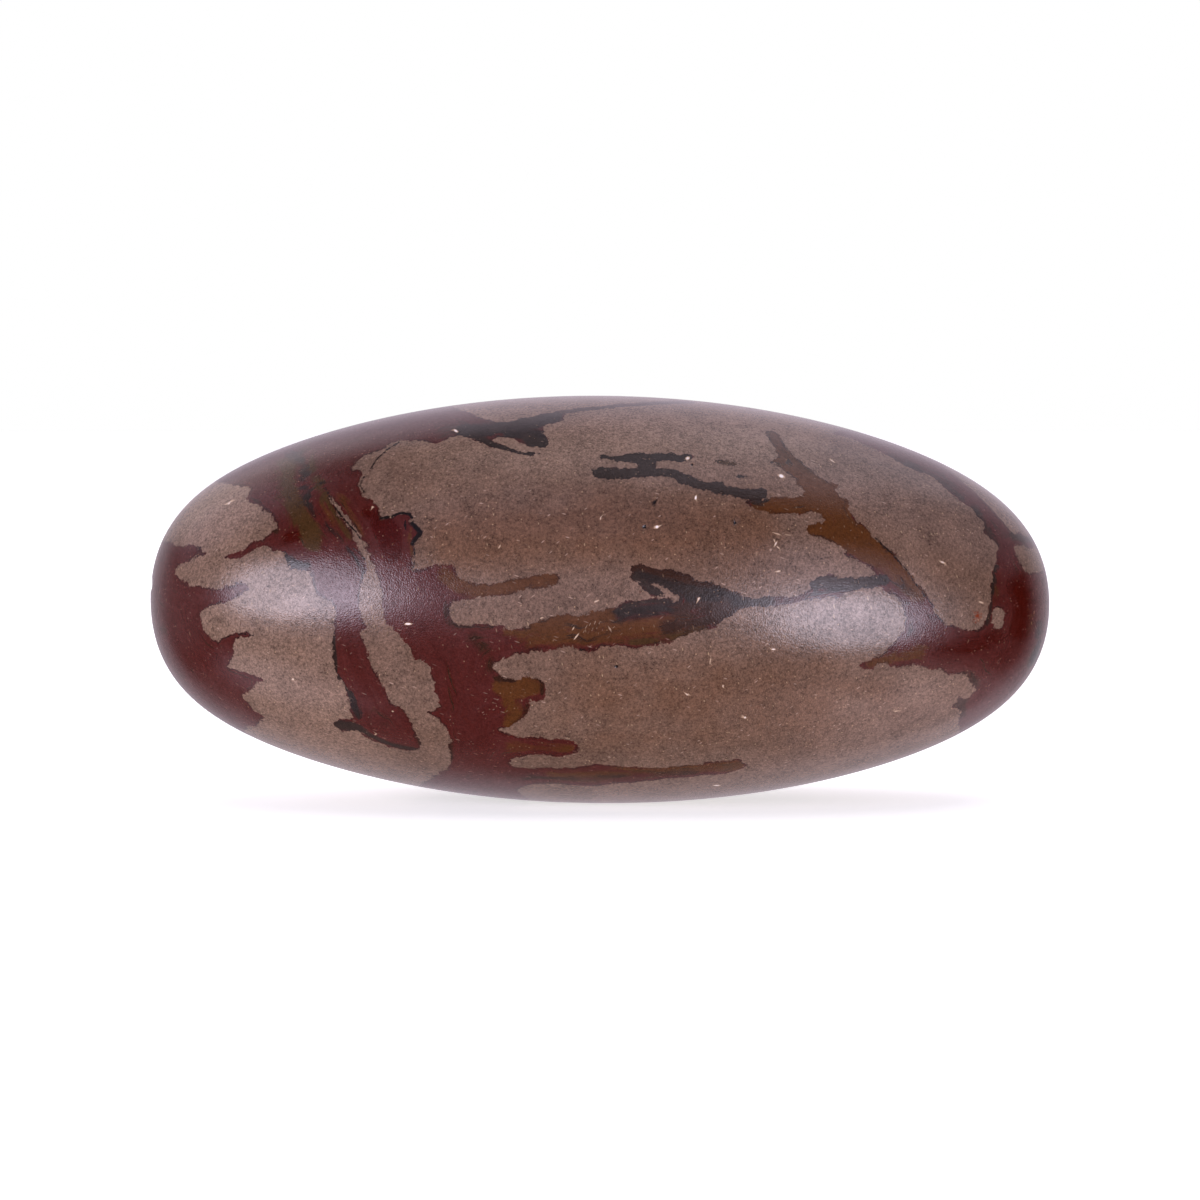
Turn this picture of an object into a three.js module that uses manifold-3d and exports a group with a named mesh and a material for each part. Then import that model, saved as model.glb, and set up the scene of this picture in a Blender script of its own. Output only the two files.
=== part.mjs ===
// A shiva lingam stone: one river-rounded cobble of banded jasper, ground by hand to a long, blunt-ended
// egg and polished. It is a single solid that lies on its side on a small worn flat.
// Millimetres, +X along the stone, +Z up. The origin is on the resting plane, under the middle of the stone.
import * as THREE from "three";
import { mergeVertices } from "three/addons/utils/BufferGeometryUtils.js";
import Module from "manifold-3d";

// Driving dimensions.
const LENGTH = 76; // tip to tip
const HEIGHT = 34.5; // at the belly, before the resting spot is worn off
const DEPTH = 35.4; // front to back at the belly: hand-ground stones are never quite round
const REST_SPOT_WIDTH = 5; // the worn flat underneath, measured across the stone

// How the outline differs from a plain ellipse.
const END_BLUNTNESS = 2.17; // 2 is an ellipse, and more gives squarer ends
const LEFT_FULLNESS = 0.16; // share by which the left shoulder swells out
const RIGHT_FULLNESS = 0.105; // share by which the right shoulder swells out
const TILT = 0.23; // how far the long axis drops from the middle to the right tip
const BOW = 0.18; // how far both tips bend down

// Broad, shallow waves that grinding by hand leaves on the front and back: [along x, y, z, phase].
const WAVE_HEIGHT = 0.08;
const WAVES = [
  [4.1, 1.3, 2.2, 0.5],
  [-2.6, 3.4, 1.7, 2.1],
  [5.2, -2.1, 3.8, 4.0],
];

const FACET_ROWS = 19; // rows of facets that each face of the starting icosahedron is split into
const TIP_LIMIT = 1e-6; // keeps the bluntness term finite at the very tips

/** How much wider the stone is than an ellipse at t, which runs from -1 at the left tip to 1 at the right. */
function swell(t) {
  const fullness = t < 0 ? LEFT_FULLNESS : RIGHT_FULLNESS;
  const blunting = Math.max(1 - t * t, TIP_LIMIT) ** (1 / END_BLUNTNESS - 1 / 2);
  return blunting * (1 + fullness * t ** 6);
}

/** Height of the grinding waves in the direction of a point on the unit sphere. */
function waveHeight(way) {
  return WAVES.reduce(
    (sum, [x, y, z, phase]) => sum + WAVE_HEIGHT * Math.sin(x * way.x + y * way.y + z * way.z + phase),
    0,
  );
}

/** Moves a point of the unit sphere to its place on the stone's skin, measured from the stone's middle. */
function toSkin(way) {
  const t = way.x;
  const wide = swell(t);
  return new THREE.Vector3(
    (LENGTH / 2) * t,
    ((DEPTH / 2) * wide + waveHeight(way)) * way.y,
    (HEIGHT / 2) * wide * way.z - TILT * t - BOW * t * t,
  );
}

/** The whole egg, before it is worn flat underneath. */
function eggGeometry() {
  const egg = new THREE.IcosahedronGeometry(1, FACET_ROWS);
  const position = egg.getAttribute("position");
  const way = new THREE.Vector3();
  for (let i = 0; i < position.count; i += 1) {
    way.fromBufferAttribute(position, i).normalize();
    const skin = toSkin(way);
    position.setXYZ(i, skin.x, skin.y, skin.z);
  }
  return egg;
}

/** The block of space below the resting plane. */
function wornAwayGeometry(lowest) {
  const sagitta = (HEIGHT / 2) * (1 - Math.sqrt(1 - (REST_SPOT_WIDTH / DEPTH) ** 2));
  const block = new THREE.BoxGeometry(LENGTH, DEPTH, HEIGHT);
  return block.translate(0, 0, lowest + sagitta - HEIGHT / 2);
}

/** A closed geometry as a manifold-3d solid. */
function toSolid(wasm, geometry) {
  const bare = new THREE.BufferGeometry();
  bare.setAttribute("position", geometry.getAttribute("position"));
  bare.setIndex(geometry.getIndex());
  const merged = mergeVertices(bare, 1e-4);
  return new wasm.Manifold(
    new wasm.Mesh({
      numProp: 3,
      vertProperties: merged.getAttribute("position").array,
      triVerts: new Uint32Array(merged.getIndex().array),
    }),
  );
}

/** A manifold-3d solid as a geometry. */
function toGeometry(solid) {
  const mesh = solid.getMesh();
  const geometry = new THREE.BufferGeometry();
  geometry.setAttribute("position", new THREE.BufferAttribute(mesh.vertProperties, 3));
  geometry.setIndex(new THREE.BufferAttribute(mesh.triVerts, 1));
  return geometry;
}

/** Moves a geometry so that it stands on z = 0 with its middle over the origin. */
function standOnOrigin(geometry) {
  geometry.computeBoundingBox();
  const { min, max } = geometry.boundingBox;
  return geometry.translate(-(min.x + max.x) / 2, -(min.y + max.y) / 2, -min.z);
}

/** The polished stone with its resting spot. */
async function makeStone() {
  const wasm = await Module();
  wasm.setup();
  const egg = eggGeometry();
  egg.computeBoundingBox();
  const block = wornAwayGeometry(egg.boundingBox.min.z);
  const worn = toSolid(wasm, egg).subtract(toSolid(wasm, block));
  const geometry = standOnOrigin(toGeometry(worn));
  geometry.computeVertexNormals();
  const jasper = new THREE.MeshStandardMaterial({ color: 0x7a6058, roughness: 0.45, metalness: 0 });
  const stone = new THREE.Mesh(geometry, jasper);
  stone.name = "stone";
  return stone;
}

const part = new THREE.Group();
part.add(await makeStone());

export default part;
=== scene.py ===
"""A polished shiva lingam stone, lying on its side on a pale sweep in soft studio light.

The stone is banded jasper: a taupe ground with bands of red, ochre and charcoal. It is one fine mesh with the
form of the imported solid. The bands are drawn as outlines on the stone's side elevations, in millimetres, and
each point of the mesh keeps its distance to the nearest outline, which the material turns into a ragged edge.
"""

import logging
import math
from dataclasses import dataclass, field
from enum import Enum, auto
from functools import cached_property
from typing import Callable

import bmesh
import bpy
import numpy as np
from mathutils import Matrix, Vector


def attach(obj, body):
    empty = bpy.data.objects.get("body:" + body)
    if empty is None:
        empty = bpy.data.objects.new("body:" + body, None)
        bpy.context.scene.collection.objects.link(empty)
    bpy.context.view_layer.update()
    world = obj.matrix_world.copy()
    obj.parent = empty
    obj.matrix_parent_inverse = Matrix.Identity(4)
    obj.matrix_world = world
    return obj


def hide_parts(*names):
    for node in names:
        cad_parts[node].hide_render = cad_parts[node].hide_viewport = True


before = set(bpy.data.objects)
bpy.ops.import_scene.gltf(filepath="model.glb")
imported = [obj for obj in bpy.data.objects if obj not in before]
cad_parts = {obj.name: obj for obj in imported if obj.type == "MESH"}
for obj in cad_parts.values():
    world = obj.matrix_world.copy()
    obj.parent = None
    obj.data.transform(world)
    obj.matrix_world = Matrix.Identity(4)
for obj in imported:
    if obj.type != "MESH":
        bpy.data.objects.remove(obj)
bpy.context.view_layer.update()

log = logging.getLogger("stone")

MM = 0.001  # metres in a millimetre

Corner = tuple[float, float]
Points = tuple[Corner, ...]
Socket = bpy.types.NodeSocket
Adder = Callable[..., Socket]  # NodeBench's add


class Side(Enum):
    """The half of the stone that a drawing is laid on. The value is the sign of its y."""

    FRONT = -1.0
    BACK = 1.0


class Tint(Enum):
    """The colours that stain the stone, in the order that they are laid over each other. The pale one is
    partly painted light: a painted paler top and left end, where more light and reflected haze fall.
    """

    # partly the ground's own paler colour, partly painted light and painted reflected haze on the top and the
    # left end
    PALE = auto()
    WARM = auto()
    RUST = auto()
    OCHRE = auto()
    OLIVE = auto()
    MAUVE = auto()
    SLATE = auto()
    CHARCOAL = auto()
    EMBER = auto()
    INK = auto()


def linear(code: str) -> tuple[float, float, float, float]:
    """Turns an sRGB hex colour into Blender's linear one.

    Args:
        code: Six hex digits, such as "7d6660".

    Returns:
        Linear red, green and blue, and an alpha of 1.
    """
    shares = [int(code[i : i + 2], 16) / 255 for i in (0, 2, 4)]
    red, green, blue = (s / 12.92 if s <= 0.04045 else ((s + 0.055) / 1.055) ** 2.4 for s in shares)
    return red, green, blue, 1.0


# --- The drawings: x runs along the stone and z up from the table, both in mm -------------------------------


@dataclass(frozen=True)
class Outline:
    """A closed outline of a band, or of an island of ground inside one."""

    name: str
    points: Points
    side: Side = Side.FRONT
    island: bool = False


@dataclass(frozen=True)
class Streak:
    """A stroke of one colour along a few points."""

    points: Points
    width: float
    soft: float = 0.5  # mm over which it fades at its edge
    strength: float = 1.0
    side: Side = Side.FRONT


@dataclass(frozen=True)
class Fleck:
    """A small chip, scratch or pit in the polish. A light one is above 0 and a dark one below."""

    x: float
    z: float
    length: float
    width: float
    slant: float = 0.0
    light: float = 1.0


BANDS: tuple[Outline, ...] = (
    Outline(
        "left cap",
        (
            (-41, 22.6), (-35.9, 22.1), (-35.0, 21.9), (-34.0, 22.0), (-33.2, 21.9), (-32.45, 21.4),
            (-33.2, 21.0), (-34.2, 20.6), (-35.0, 20.15), (-35.2, 19.5), (-34.6, 19.2), (-33.9, 18.8),
            (-33.2, 18.65), (-32.0, 18.6), (-31.0, 18.7), (-30.2, 18.9), (-29.6, 19.15), (-28.9, 19.0),
            (-28.65, 18.6), (-29.2, 18.2), (-29.8, 17.9), (-30.5, 17.5), (-31.2, 17.2), (-32.2, 17.0),
            (-32.8, 16.7), (-33.0, 16.2), (-32.8, 15.7), (-32.6, 15.2), (-32.3, 14.7), (-31.9, 14.35),
            (-31.4, 14.15), (-31.0, 14.5), (-30.3, 14.75), (-29.7, 14.95), (-28.9, 14.95), (-28.2, 14.7),
            (-29.3, 14.7), (-29.9, 14.4), (-30.0, 13.7), (-29.9, 13.2), (-30.3, 12.6), (-30.6, 12.1),
            (-30.2, 11.9), (-29.4, 11.7), (-28.5, 11.5), (-27.7, 11.05), (-28.2, 10.7), (-28.5, 10.2),
            (-29.0, 9.9), (-29.6, 9.4), (-29.1, 9.0), (-28.8, 8.5), (-28.6, 8.2), (-27.6, 7.7),
            (-28.2, 7.3), (-28.7, 6.9), (-29.4, 6.8), (-29.8, 6.2), (-29.9, 3), (-41, 3),
        ),
    ),
    Outline(
        "left band",
        (
            (-33.5, 28.5), (-32.3, 27.1), (-31.0, 26.95), (-30.2, 26.9), (-29.3, 26.85), (-28.75, 26.6),
            (-29.0, 26.3), (-29.2, 25.9), (-28.9, 25.65), (-28.1, 25.35), (-27.5, 24.9), (-26.9, 24.4),
            (-26.5, 23.9), (-26.5, 23.4), (-27.0, 23.0), (-27.5, 22.7), (-28.4, 22.35), (-29.1, 21.9),
            (-29.8, 21.55), (-30.8, 21.05), (-29.5, 21.05), (-28.7, 21.4), (-28.2, 21.8), (-27.6, 22.3),
            (-27.2, 22.1), (-26.9, 21.75), (-26.4, 21.7), (-25.9, 21.6), (-25.7, 21.2), (-25.4, 20.7),
            (-25.0, 20.3), (-24.3, 20.15), (-23.6, 20.1), (-23.3, 19.6), (-23.3, 19.0), (-23.1, 18.4),
            (-22.5, 18.0), (-21.8, 17.7), (-21.4, 17.2), (-21.35, 16.6), (-21.5, 16.2), (-21.6, 15.4),
            (-21.75, 14.5), (-21.75, 13.7), (-21.6, 12.85), (-21.7, 12.2), (-21.4, 11.6), (-21.0, 10.9),
            (-20.7, 10.4), (-20.6, 9.8), (-20.4, 9.3), (-20.35, 8.5), (-20.3, 8.05), (-20.8, 7.9),
            (-21.4, 7.85), (-21.85, 7.5), (-21.6, 7.0), (-21.2, 6.75), (-20.5, 6.85), (-19.9, 6.9),
            (-19.5, 6.55), (-19.1, 6.2), (-18.6, 5.95), (-18.0, 5.8), (-17.4, 5.5), (-16.8, 5.35),
            (-16.2, 5.3), (-15.4, 5.2), (-14.9, 5.25), (-14.75, 5.6), (-14.7, 6.0), (-14.95, 6.6),
            (-15.2, 7.3), (-15.5, 7.95), (-15.95, 8.6), (-16.3, 9.0), (-16.9, 9.25), (-17.15, 9.5),
            (-17.3, 10.0), (-17.6, 10.6), (-17.8, 11.1), (-18.1, 11.7), (-18.25, 12.15), (-18.6, 12.85),
            (-18.85, 13.3), (-18.9, 13.8), (-19.15, 14.3), (-19.25, 14.8), (-19.3, 15.25), (-18.9, 15.6),
            (-19.2, 16.0), (-19.3, 16.75), (-19.35, 17.6), (-19.4, 18.25), (-19.3, 19.0), (-19.05, 19.6),
            (-18.9, 20.3), (-19.0, 20.8), (-19.2, 21.3), (-19.5, 21.95), (-19.85, 22.5), (-20.0, 23.15),
            (-20.5, 23.8), (-21.1, 24.5), (-21.75, 25.3), (-22.1, 25.95), (-21.0, 27.0), (-20.0, 29.0),
            (-20.0, 38.0), (-35.5, 38.0),
        ),
    ),
    Outline(
        "top band",
        (
            (-26.0, 38.0), (-26.0, 29.0), (-23.2, 27.0), (-22.3, 26.2), (-21.9, 25.95), (-21.4, 25.5),
            (-20.8, 24.85), (-20.2, 24.1), (-19.7, 23.4), (-19.25, 22.75), (-18.95, 22.1), (-18.6, 21.5),
            (-18.4, 20.9), (-18.2, 20.2), (-17.9, 19.4), (-17.7, 18.75), (-17.55, 17.75), (-17.45, 16.8),
            (-17.3, 15.95), (-16.8, 15.65), (-14.5, 14.0), (-13.2, 14.5), (-13.2, 17.5), (-13.4, 19.8),
            (-14.9, 20.3), (-15.4, 20.4), (-15.15, 20.65), (-15.0, 21.1), (-14.9, 21.6), (-15.0, 22.1),
            (-14.95, 22.55), (-14.65, 22.9), (-14.4, 23.25), (-14.75, 23.45), (-15.05, 23.65),
            (-15.5, 24.1), (-15.3, 24.4), (-15.25, 24.85), (-15.8, 24.75), (-16.5, 24.7), (-17.2, 24.45),
            (-17.75, 24.35), (-17.85, 24.75), (-17.95, 25.25), (-18.3, 25.6), (-18.8, 25.85),
            (-19.2, 26.2), (-19.55, 26.6), (-19.8, 27.0), (-19.6, 27.4), (-19.35, 27.9), (-19.7, 28.2),
            (-20.2, 28.2), (-20.5, 28.5), (-20.2, 28.85), (-19.6, 29.2), (-19.0, 29.55), (-18.3, 29.8),
            (-17.7, 30.05), (-17.2, 30.45), (-16.6, 30.65), (-16.0, 30.6), (-15.2, 30.65), (-14.5, 30.6),
            (-13.9, 30.4), (-13.4, 30.5), (-12.8, 30.7), (-12.4, 30.95), (-11.8, 31.05), (-11.2, 31.0),
            (-10.6, 30.85), (-10.0, 30.55), (-9.4, 30.3), (-8.9, 30.1), (-8.2, 30.05), (-7.6, 29.85),
            (-7.1, 29.65), (-6.4, 29.5), (-5.5, 29.5), (-4.9, 29.65), (-5.5, 29.7), (-6.2, 29.75),
            (-6.8, 29.8), (-7.3, 30.05), (-7.8, 30.25), (-8.4, 30.4), (-8.65, 30.7), (-8.3, 30.95),
            (-7.6, 30.9), (-6.9, 30.75), (-6.4, 30.5), (-6.0, 30.2), (-5.6, 30.1), (-4.9, 30.1),
            (-4.45, 30.1), (-4.3, 30.5), (-4.35, 30.95), (-4.7, 31.3), (-4.65, 31.7), (-4.3, 32.0),
            (-3.5, 32.1), (-2.9, 32.35), (-3.0, 32.6), (-2.7, 32.85), (-1.6, 33.05), (0.0, 33.2),
            (1.0, 33.3), (2.5, 33.45), (4.0, 33.55), (6.0, 33.65), (8.0, 33.7), (8.0, 33.85), (6.6, 33.9),
            (5.0, 33.85), (3.3, 33.75), (1.6, 33.65), (0.0, 33.45), (-1.6, 33.35), (-2.7, 33.2),
            (-3.65, 33.05), (-4.4, 32.9), (-5.15, 32.8), (-5.8, 32.55), (-6.5, 32.5), (-7.05, 32.25),
            (-7.75, 32.15), (-8.75, 32.25), (-9.6, 32.4), (-10.45, 32.8), (-11.6, 33.15), (-13.0, 33.6),
            (-14.0, 35.0), (-14.0, 38.0),
        ),
    ),
    Outline(
        "trunk",
        (
            (-16.5, 21.5), (-15.4, 20.35), (-14.9, 20.3), (-14.35, 20.45), (-13.7, 20.6), (-12.9, 20.75),
            (-12.3, 20.8), (-11.8, 20.7), (-11.55, 20.45), (-11.55, 20.0), (-11.5, 19.7), (-11.15, 19.45),
            (-10.5, 19.3), (-9.8, 19.25), (-9.0, 19.3), (-8.2, 19.4), (-7.4, 19.55), (-6.5, 19.7),
            (-5.7, 19.85), (-4.9, 20.0), (-4.1, 20.1), (-3.4, 20.1), (-3.05, 19.8), (-3.2, 19.5),
            (-3.6, 19.2), (-4.3, 19.0), (-5.1, 18.9), (-5.9, 18.8), (-6.5, 18.6), (-7.1, 18.4),
            (-7.8, 18.35), (-8.6, 18.3), (-9.3, 18.25), (-10.1, 18.1), (-10.6, 17.9), (-11.3, 17.8),
            (-11.9, 17.85), (-12.0, 17.4), (-12.05, 17.0), (-11.95, 16.5), (-11.75, 16.1), (-11.4, 15.95),
            (-10.8, 15.95), (-10.0, 15.95), (-9.2, 16.0), (-8.4, 15.95), (-7.8, 15.85), (-7.55, 15.65),
            (-7.0, 15.55), (-6.3, 15.5), (-5.0, 15.4), (-5.0, 14.6), (-6.4, 13.45), (-7.0, 13.45),
            (-7.6, 13.25), (-8.1, 13.05), (-8.5, 12.85), (-8.6, 12.5), (-8.35, 12.1), (-8.1, 11.75),
            (-7.7, 11.55), (-7.15, 11.4), (-6.6, 11.5), (-6.2, 11.7), (-5.7, 11.75), (-5.1, 11.7),
            (-4.7, 11.5), (-4.4, 11.2), (-4.35, 10.85), (-4.5, 10.5), (-4.4, 10.0), (-4.6, 9.75),
            (-5.1, 9.7), (-5.6, 9.7), (-5.85, 9.5), (-5.65, 9.25), (-5.75, 8.8), (-6.0, 8.3),
            (-6.4, 8.05), (-6.9, 7.75), (-7.3, 7.5), (-7.9, 7.3), (-8.15, 7.15), (-7.9, 7.05),
            (-7.55, 6.9), (-7.0, 6.7), (-6.4, 6.6), (-5.6, 6.55), (-4.9, 6.5), (-4.1, 6.4), (-3.3, 6.4),
            (-2.7, 6.35), (-2.1, 6.2), (-1.8, 5.95), (-1.65, 5.6), (-1.9, 5.3), (-2.4, 5.0), (-3.1, 4.85),
            (-3.8, 4.9), (-4.4, 5.0), (-5.2, 5.0), (-6.0, 4.85), (-6.8, 4.75), (-7.3, 4.55),
            (-7.45, 4.25), (-7.1, 4.0), (-6.5, 3.8), (-5.7, 3.75), (-4.9, 3.85), (-4.2, 3.95),
            (-3.3, 3.75), (-2.4, 3.75), (-1.6, 3.9), (-0.8, 4.05), (0.2, 4.15), (0.9, 4.05), (1.7, 4.0),
            (2.6, 3.95), (3.5, 3.85), (4.3, 3.8), (5.1, 3.8), (6.0, 3.95), (7.0, 4.0), (7.8, 4.05),
            (8.5, 4.2), (9.3, 4.35), (10.1, 4.4), (10.7, 4.45), (11.4, 4.5), (11.8, 4.35), (12.1, 3.95),
            (11.9, 3.7), (11.3, 3.45), (10.6, 3.2), (9.6, 3.1), (8.6, 3.05), (7.6, 2.95), (6.6, 2.85),
            (5.6, 2.8), (4.9, 2.65), (4.1, 2.55), (3.0, 2.45), (2.0, 2.35), (1.0, 2.25), (0.0, 2.1),
            (-1.2, 2.05), (-2.2, 2.15), (-3.2, 2.25), (-4.0, 2.3), (-5.0, 2.25), (-5.9, 2.1),
            (-6.6, 1.85), (-7.0, 1.5), (-6.6, 1.2), (-6.0, 0.6), (-5.7, -3.0), (-16.6, -3.0), (-15.6, 1.2),
            (-14.7, 2.1), (-14.0, 2.6), (-13.25, 3.15), (-12.6, 3.65), (-12.35, 4.15), (-12.3, 4.85),
            (-12.4, 5.5), (-12.2, 6.1), (-12.45, 6.7), (-12.5, 7.2), (-12.85, 7.65), (-13.2, 8.0),
            (-13.6, 8.35), (-14.05, 8.65), (-13.35, 8.85), (-12.9, 9.1), (-13.0, 9.4), (-13.2, 10.05),
            (-13.35, 10.6), (-13.5, 11.3), (-13.65, 11.95), (-13.9, 12.6), (-14.5, 12.9), (-15.0, 13.15),
            (-15.1, 13.55), (-15.35, 14.1), (-15.65, 14.5), (-16.15, 14.85), (-16.4, 15.25),
            (-16.8, 15.65), (-17.3, 15.95), (-17.45, 16.8), (-17.55, 17.75), (-17.7, 18.75),
            (-17.9, 19.4), (-17.5, 20.5),
        ),
    ),
    Outline(
        "middle vein",
        (
            (-8.2, 15.0), (-7.0, 15.5), (-6.3, 15.5), (-5.9, 15.75), (-5.5, 16.05), (-5.0, 16.2),
            (-4.4, 16.35), (-3.9, 16.55), (-3.2, 16.75), (-2.6, 16.9), (-2.1, 16.7), (-1.65, 16.6),
            (-1.2, 16.8), (-0.7, 17.0), (0.0, 17.15), (0.6, 17.25), (1.3, 17.4), (1.9, 17.7), (2.55, 17.9),
            (3.2, 17.95), (4.0, 18.0), (4.8, 18.02), (5.5, 18.0), (6.1, 17.85), (7.0, 18.3), (9.0, 18.5),
            (11.0, 18.0), (11.9, 17.35), (11.3, 17.2), (10.9, 16.95), (10.55, 16.75), (10.15, 16.5),
            (9.8, 16.15), (9.6, 15.9), (9.1, 15.7), (8.5, 15.6), (7.9, 15.4), (7.2, 15.2), (6.65, 14.95),
            (6.05, 14.7), (5.4, 14.45), (4.6, 14.35), (3.8, 14.25), (3.0, 14.05), (2.15, 14.1),
            (1.35, 14.2), (0.5, 14.2), (0.0, 14.05), (-0.5, 13.85), (-0.9, 13.7), (-1.4, 13.8),
            (-1.85, 14.05), (-2.2, 14.3), (-2.8, 14.2), (-3.4, 14.05), (-3.8, 13.8), (-4.4, 13.85),
            (-4.8, 13.95), (-5.6, 13.85), (-6.05, 13.6), (-6.4, 13.45), (-7.0, 13.45), (-7.9, 13.8),
        ),
    ),
    Outline(
        "charcoal wedge",
        (
            (2.6, 20.65), (2.9, 20.9), (3.3, 20.9), (3.7, 20.65), (4.15, 20.45), (4.8, 20.35), (5.5, 20.4),
            (6.05, 20.4), (6.7, 20.15), (7.25, 19.9), (7.8, 19.6), (8.4, 19.4), (9.1, 19.3), (9.8, 19.0),
            (10.5, 18.7), (11.1, 18.5), (11.55, 18.35), (12.2, 18.15), (13.1, 18.1), (13.3, 17.45),
            (12.5, 17.4), (11.0, 17.2), (9.0, 16.6), (7.0, 17.0), (6.0, 17.6), (5.3, 18.1), (4.7, 18.33),
            (4.15, 18.35), (3.65, 18.6), (3.25, 18.9), (3.0, 19.3), (2.7, 19.55), (2.3, 19.7),
            (2.35, 19.9), (2.75, 20.05), (2.5, 20.3),
        ),
    ),
    Outline(
        "sliver in the wedge",
        (
            (4.05, 19.3), (4.4, 19.35), (5.0, 19.15), (5.5, 18.85), (5.95, 18.45), (6.25, 18.1),
            (6.15, 17.85), (5.7, 17.95), (5.2, 18.05), (4.9, 18.35), (4.95, 18.5), (4.6, 18.8),
            (4.15, 19.1),
        ),
        island=True,
    ),
    Outline(
        "grey streak",
        (
            (11.0, 18.3), (12.2, 18.15), (13.1, 18.1), (14.1, 18.15), (15.0, 18.1), (15.75, 18.15),
            (16.4, 18.35), (17.0, 18.7), (17.1, 18.95), (16.8, 19.2), (17.1, 19.5), (17.6, 19.7),
            (18.3, 19.9), (18.9, 19.95), (19.4, 19.7), (20.25, 19.7), (21.05, 19.65), (21.7, 19.65),
            (22.1, 19.85), (23.6, 20.2), (25.0, 18.8), (26.0, 17.5), (24.5, 17.45), (24.1, 17.85),
            (23.6, 18.2), (23.2, 18.5), (22.7, 18.75), (22.0, 18.75), (21.3, 18.65), (20.6, 18.5),
            (20.0, 18.35), (19.3, 18.15), (18.2, 18.05), (17.35, 17.95), (16.5, 17.8), (16.0, 17.7),
            (15.3, 17.5), (14.1, 17.45), (13.3, 17.45), (12.5, 17.4), (11.0, 17.2),
        ),
    ),
    Outline(
        "ochre band",
        (
            (13.75, 31.4), (14.1, 31.5), (14.5, 31.35), (14.85, 31.0), (15.2, 30.4), (15.6, 29.85),
            (16.1, 29.25), (16.75, 28.7), (17.45, 28.15), (18.2, 27.6), (18.8, 27.3), (19.3, 27.05),
            (19.2, 26.6), (19.5, 26.25), (20.1, 26.0), (20.3, 25.7), (20.2, 25.3), (20.45, 24.8),
            (20.85, 24.2), (21.5, 23.9), (21.75, 23.4), (22.2, 22.85), (22.75, 22.45), (23.3, 22.0),
            (23.8, 21.6), (24.2, 21.1), (24.6, 20.55), (25.05, 20.15), (25.45, 19.6), (25.8, 19.1),
            (26.2, 18.7), (26.6, 18.2), (26.95, 17.7), (27.2, 17.3), (27.4, 17.0), (26.0, 17.3),
            (24.8, 17.6), (23.7, 18.3), (22.7, 18.9), (22.3, 19.85), (22.1, 20.15), (21.7, 20.5),
            (21.3, 20.8), (20.8, 21.05), (20.25, 21.2), (19.9, 21.4), (20.0, 21.85), (19.75, 22.1),
            (19.2, 22.3), (18.6, 22.5), (18.1, 22.75), (17.8, 22.95), (17.3, 23.0), (16.9, 23.2),
            (16.65, 23.55), (17.0, 23.9), (17.55, 23.95), (18.05, 24.0), (18.4, 24.25), (18.2, 24.55),
            (17.7, 24.8), (17.1, 24.9), (16.3, 24.8), (15.3, 24.75), (14.25, 24.75), (13.4, 24.95),
            (12.7, 25.15), (12.05, 25.5), (11.6, 25.85), (12.6, 25.95), (13.7, 26.0), (14.5, 26.1),
            (15.45, 26.1), (16.35, 26.3), (16.7, 26.55), (16.45, 26.8), (16.1, 27.1), (16.0, 27.55),
            (15.5, 27.85), (15.05, 28.25), (14.75, 28.5), (14.5, 28.8), (13.8, 28.95), (14.3, 29.1),
            (14.7, 29.4), (14.4, 29.75), (14.35, 30.2), (14.0, 30.65), (13.8, 30.95),
        ),
    ),
    Outline(
        "right band",
        (
            (24.5, 17.45), (24.7, 16.8), (24.8, 16.1), (24.75, 15.5), (24.45, 14.9), (24.1, 14.4),
            (23.6, 14.0), (23.2, 13.6), (22.6, 13.25), (22.0, 12.95), (21.5, 12.75), (21.15, 12.5),
            (21.6, 12.2), (22.2, 12.15), (22.6, 12.5), (23.2, 12.6), (23.75, 12.25), (24.4, 12.25),
            (25.1, 12.35), (25.7, 12.45), (26.2, 12.25), (27.0, 12.05), (27.65, 11.95), (28.3, 11.75),
            (28.7, 11.4), (29.25, 11.3), (29.6, 11.5), (29.9, 11.65), (30.25, 11.25), (30.5, 10.65),
            (30.95, 10.2), (31.1, 10.0), (30.8, 9.85), (30.65, 9.45), (30.2, 9.3), (29.65, 9.55),
            (29.45, 9.3), (29.45, 9.05), (29.1, 8.8), (29.1, 8.6), (29.75, 8.4), (29.9, 8.1),
            (29.8, 7.5), (30.05, 6.9), (30.6, 3.0), (41, 3.0), (41, 23.2), (35.6, 22.55), (35.1, 22.9),
            (34.6, 22.8), (34.2, 23.15), (33.8, 23.6), (33.2, 24.15), (32.6, 24.9), (32.0, 25.55),
            (31.5, 26.1), (31.0, 26.6), (30.4, 27.0), (29.75, 27.65), (28.9, 28.6), (28.3, 31.0),
            (23.5, 31.5), (20.0, 31.45), (19.4, 31.15), (21.0, 30.75), (22.6, 30.0), (23.6, 29.5),
            (24.3, 29.15), (24.9, 28.8), (25.3, 28.5), (26.0, 28.25), (26.6, 28.0), (27.2, 27.85),
            (27.8, 27.5), (28.2, 27.1), (28.7, 26.65), (29.2, 26.2), (29.6, 25.95), (29.75, 25.6),
            (30.3, 25.3), (30.85, 25.0), (31.1, 24.7), (31.3, 24.35), (31.6, 24.1), (31.75, 23.8),
            (31.7, 23.3), (31.8, 22.95), (32.15, 22.6), (32.6, 22.35), (32.85, 22.1), (32.95, 21.7),
            (32.8, 21.1), (32.6, 20.55), (32.5, 20.15), (32.3, 19.85), (32.3, 19.35), (32.2, 18.7),
            (32.1, 18.1), (32.05, 17.5), (31.95, 16.95), (31.8, 16.45), (31.6, 15.9), (31.5, 15.5),
            (31.2, 15.3), (30.65, 15.2), (30.0, 15.25), (29.25, 15.4), (28.7, 15.6), (28.2, 15.85),
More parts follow.
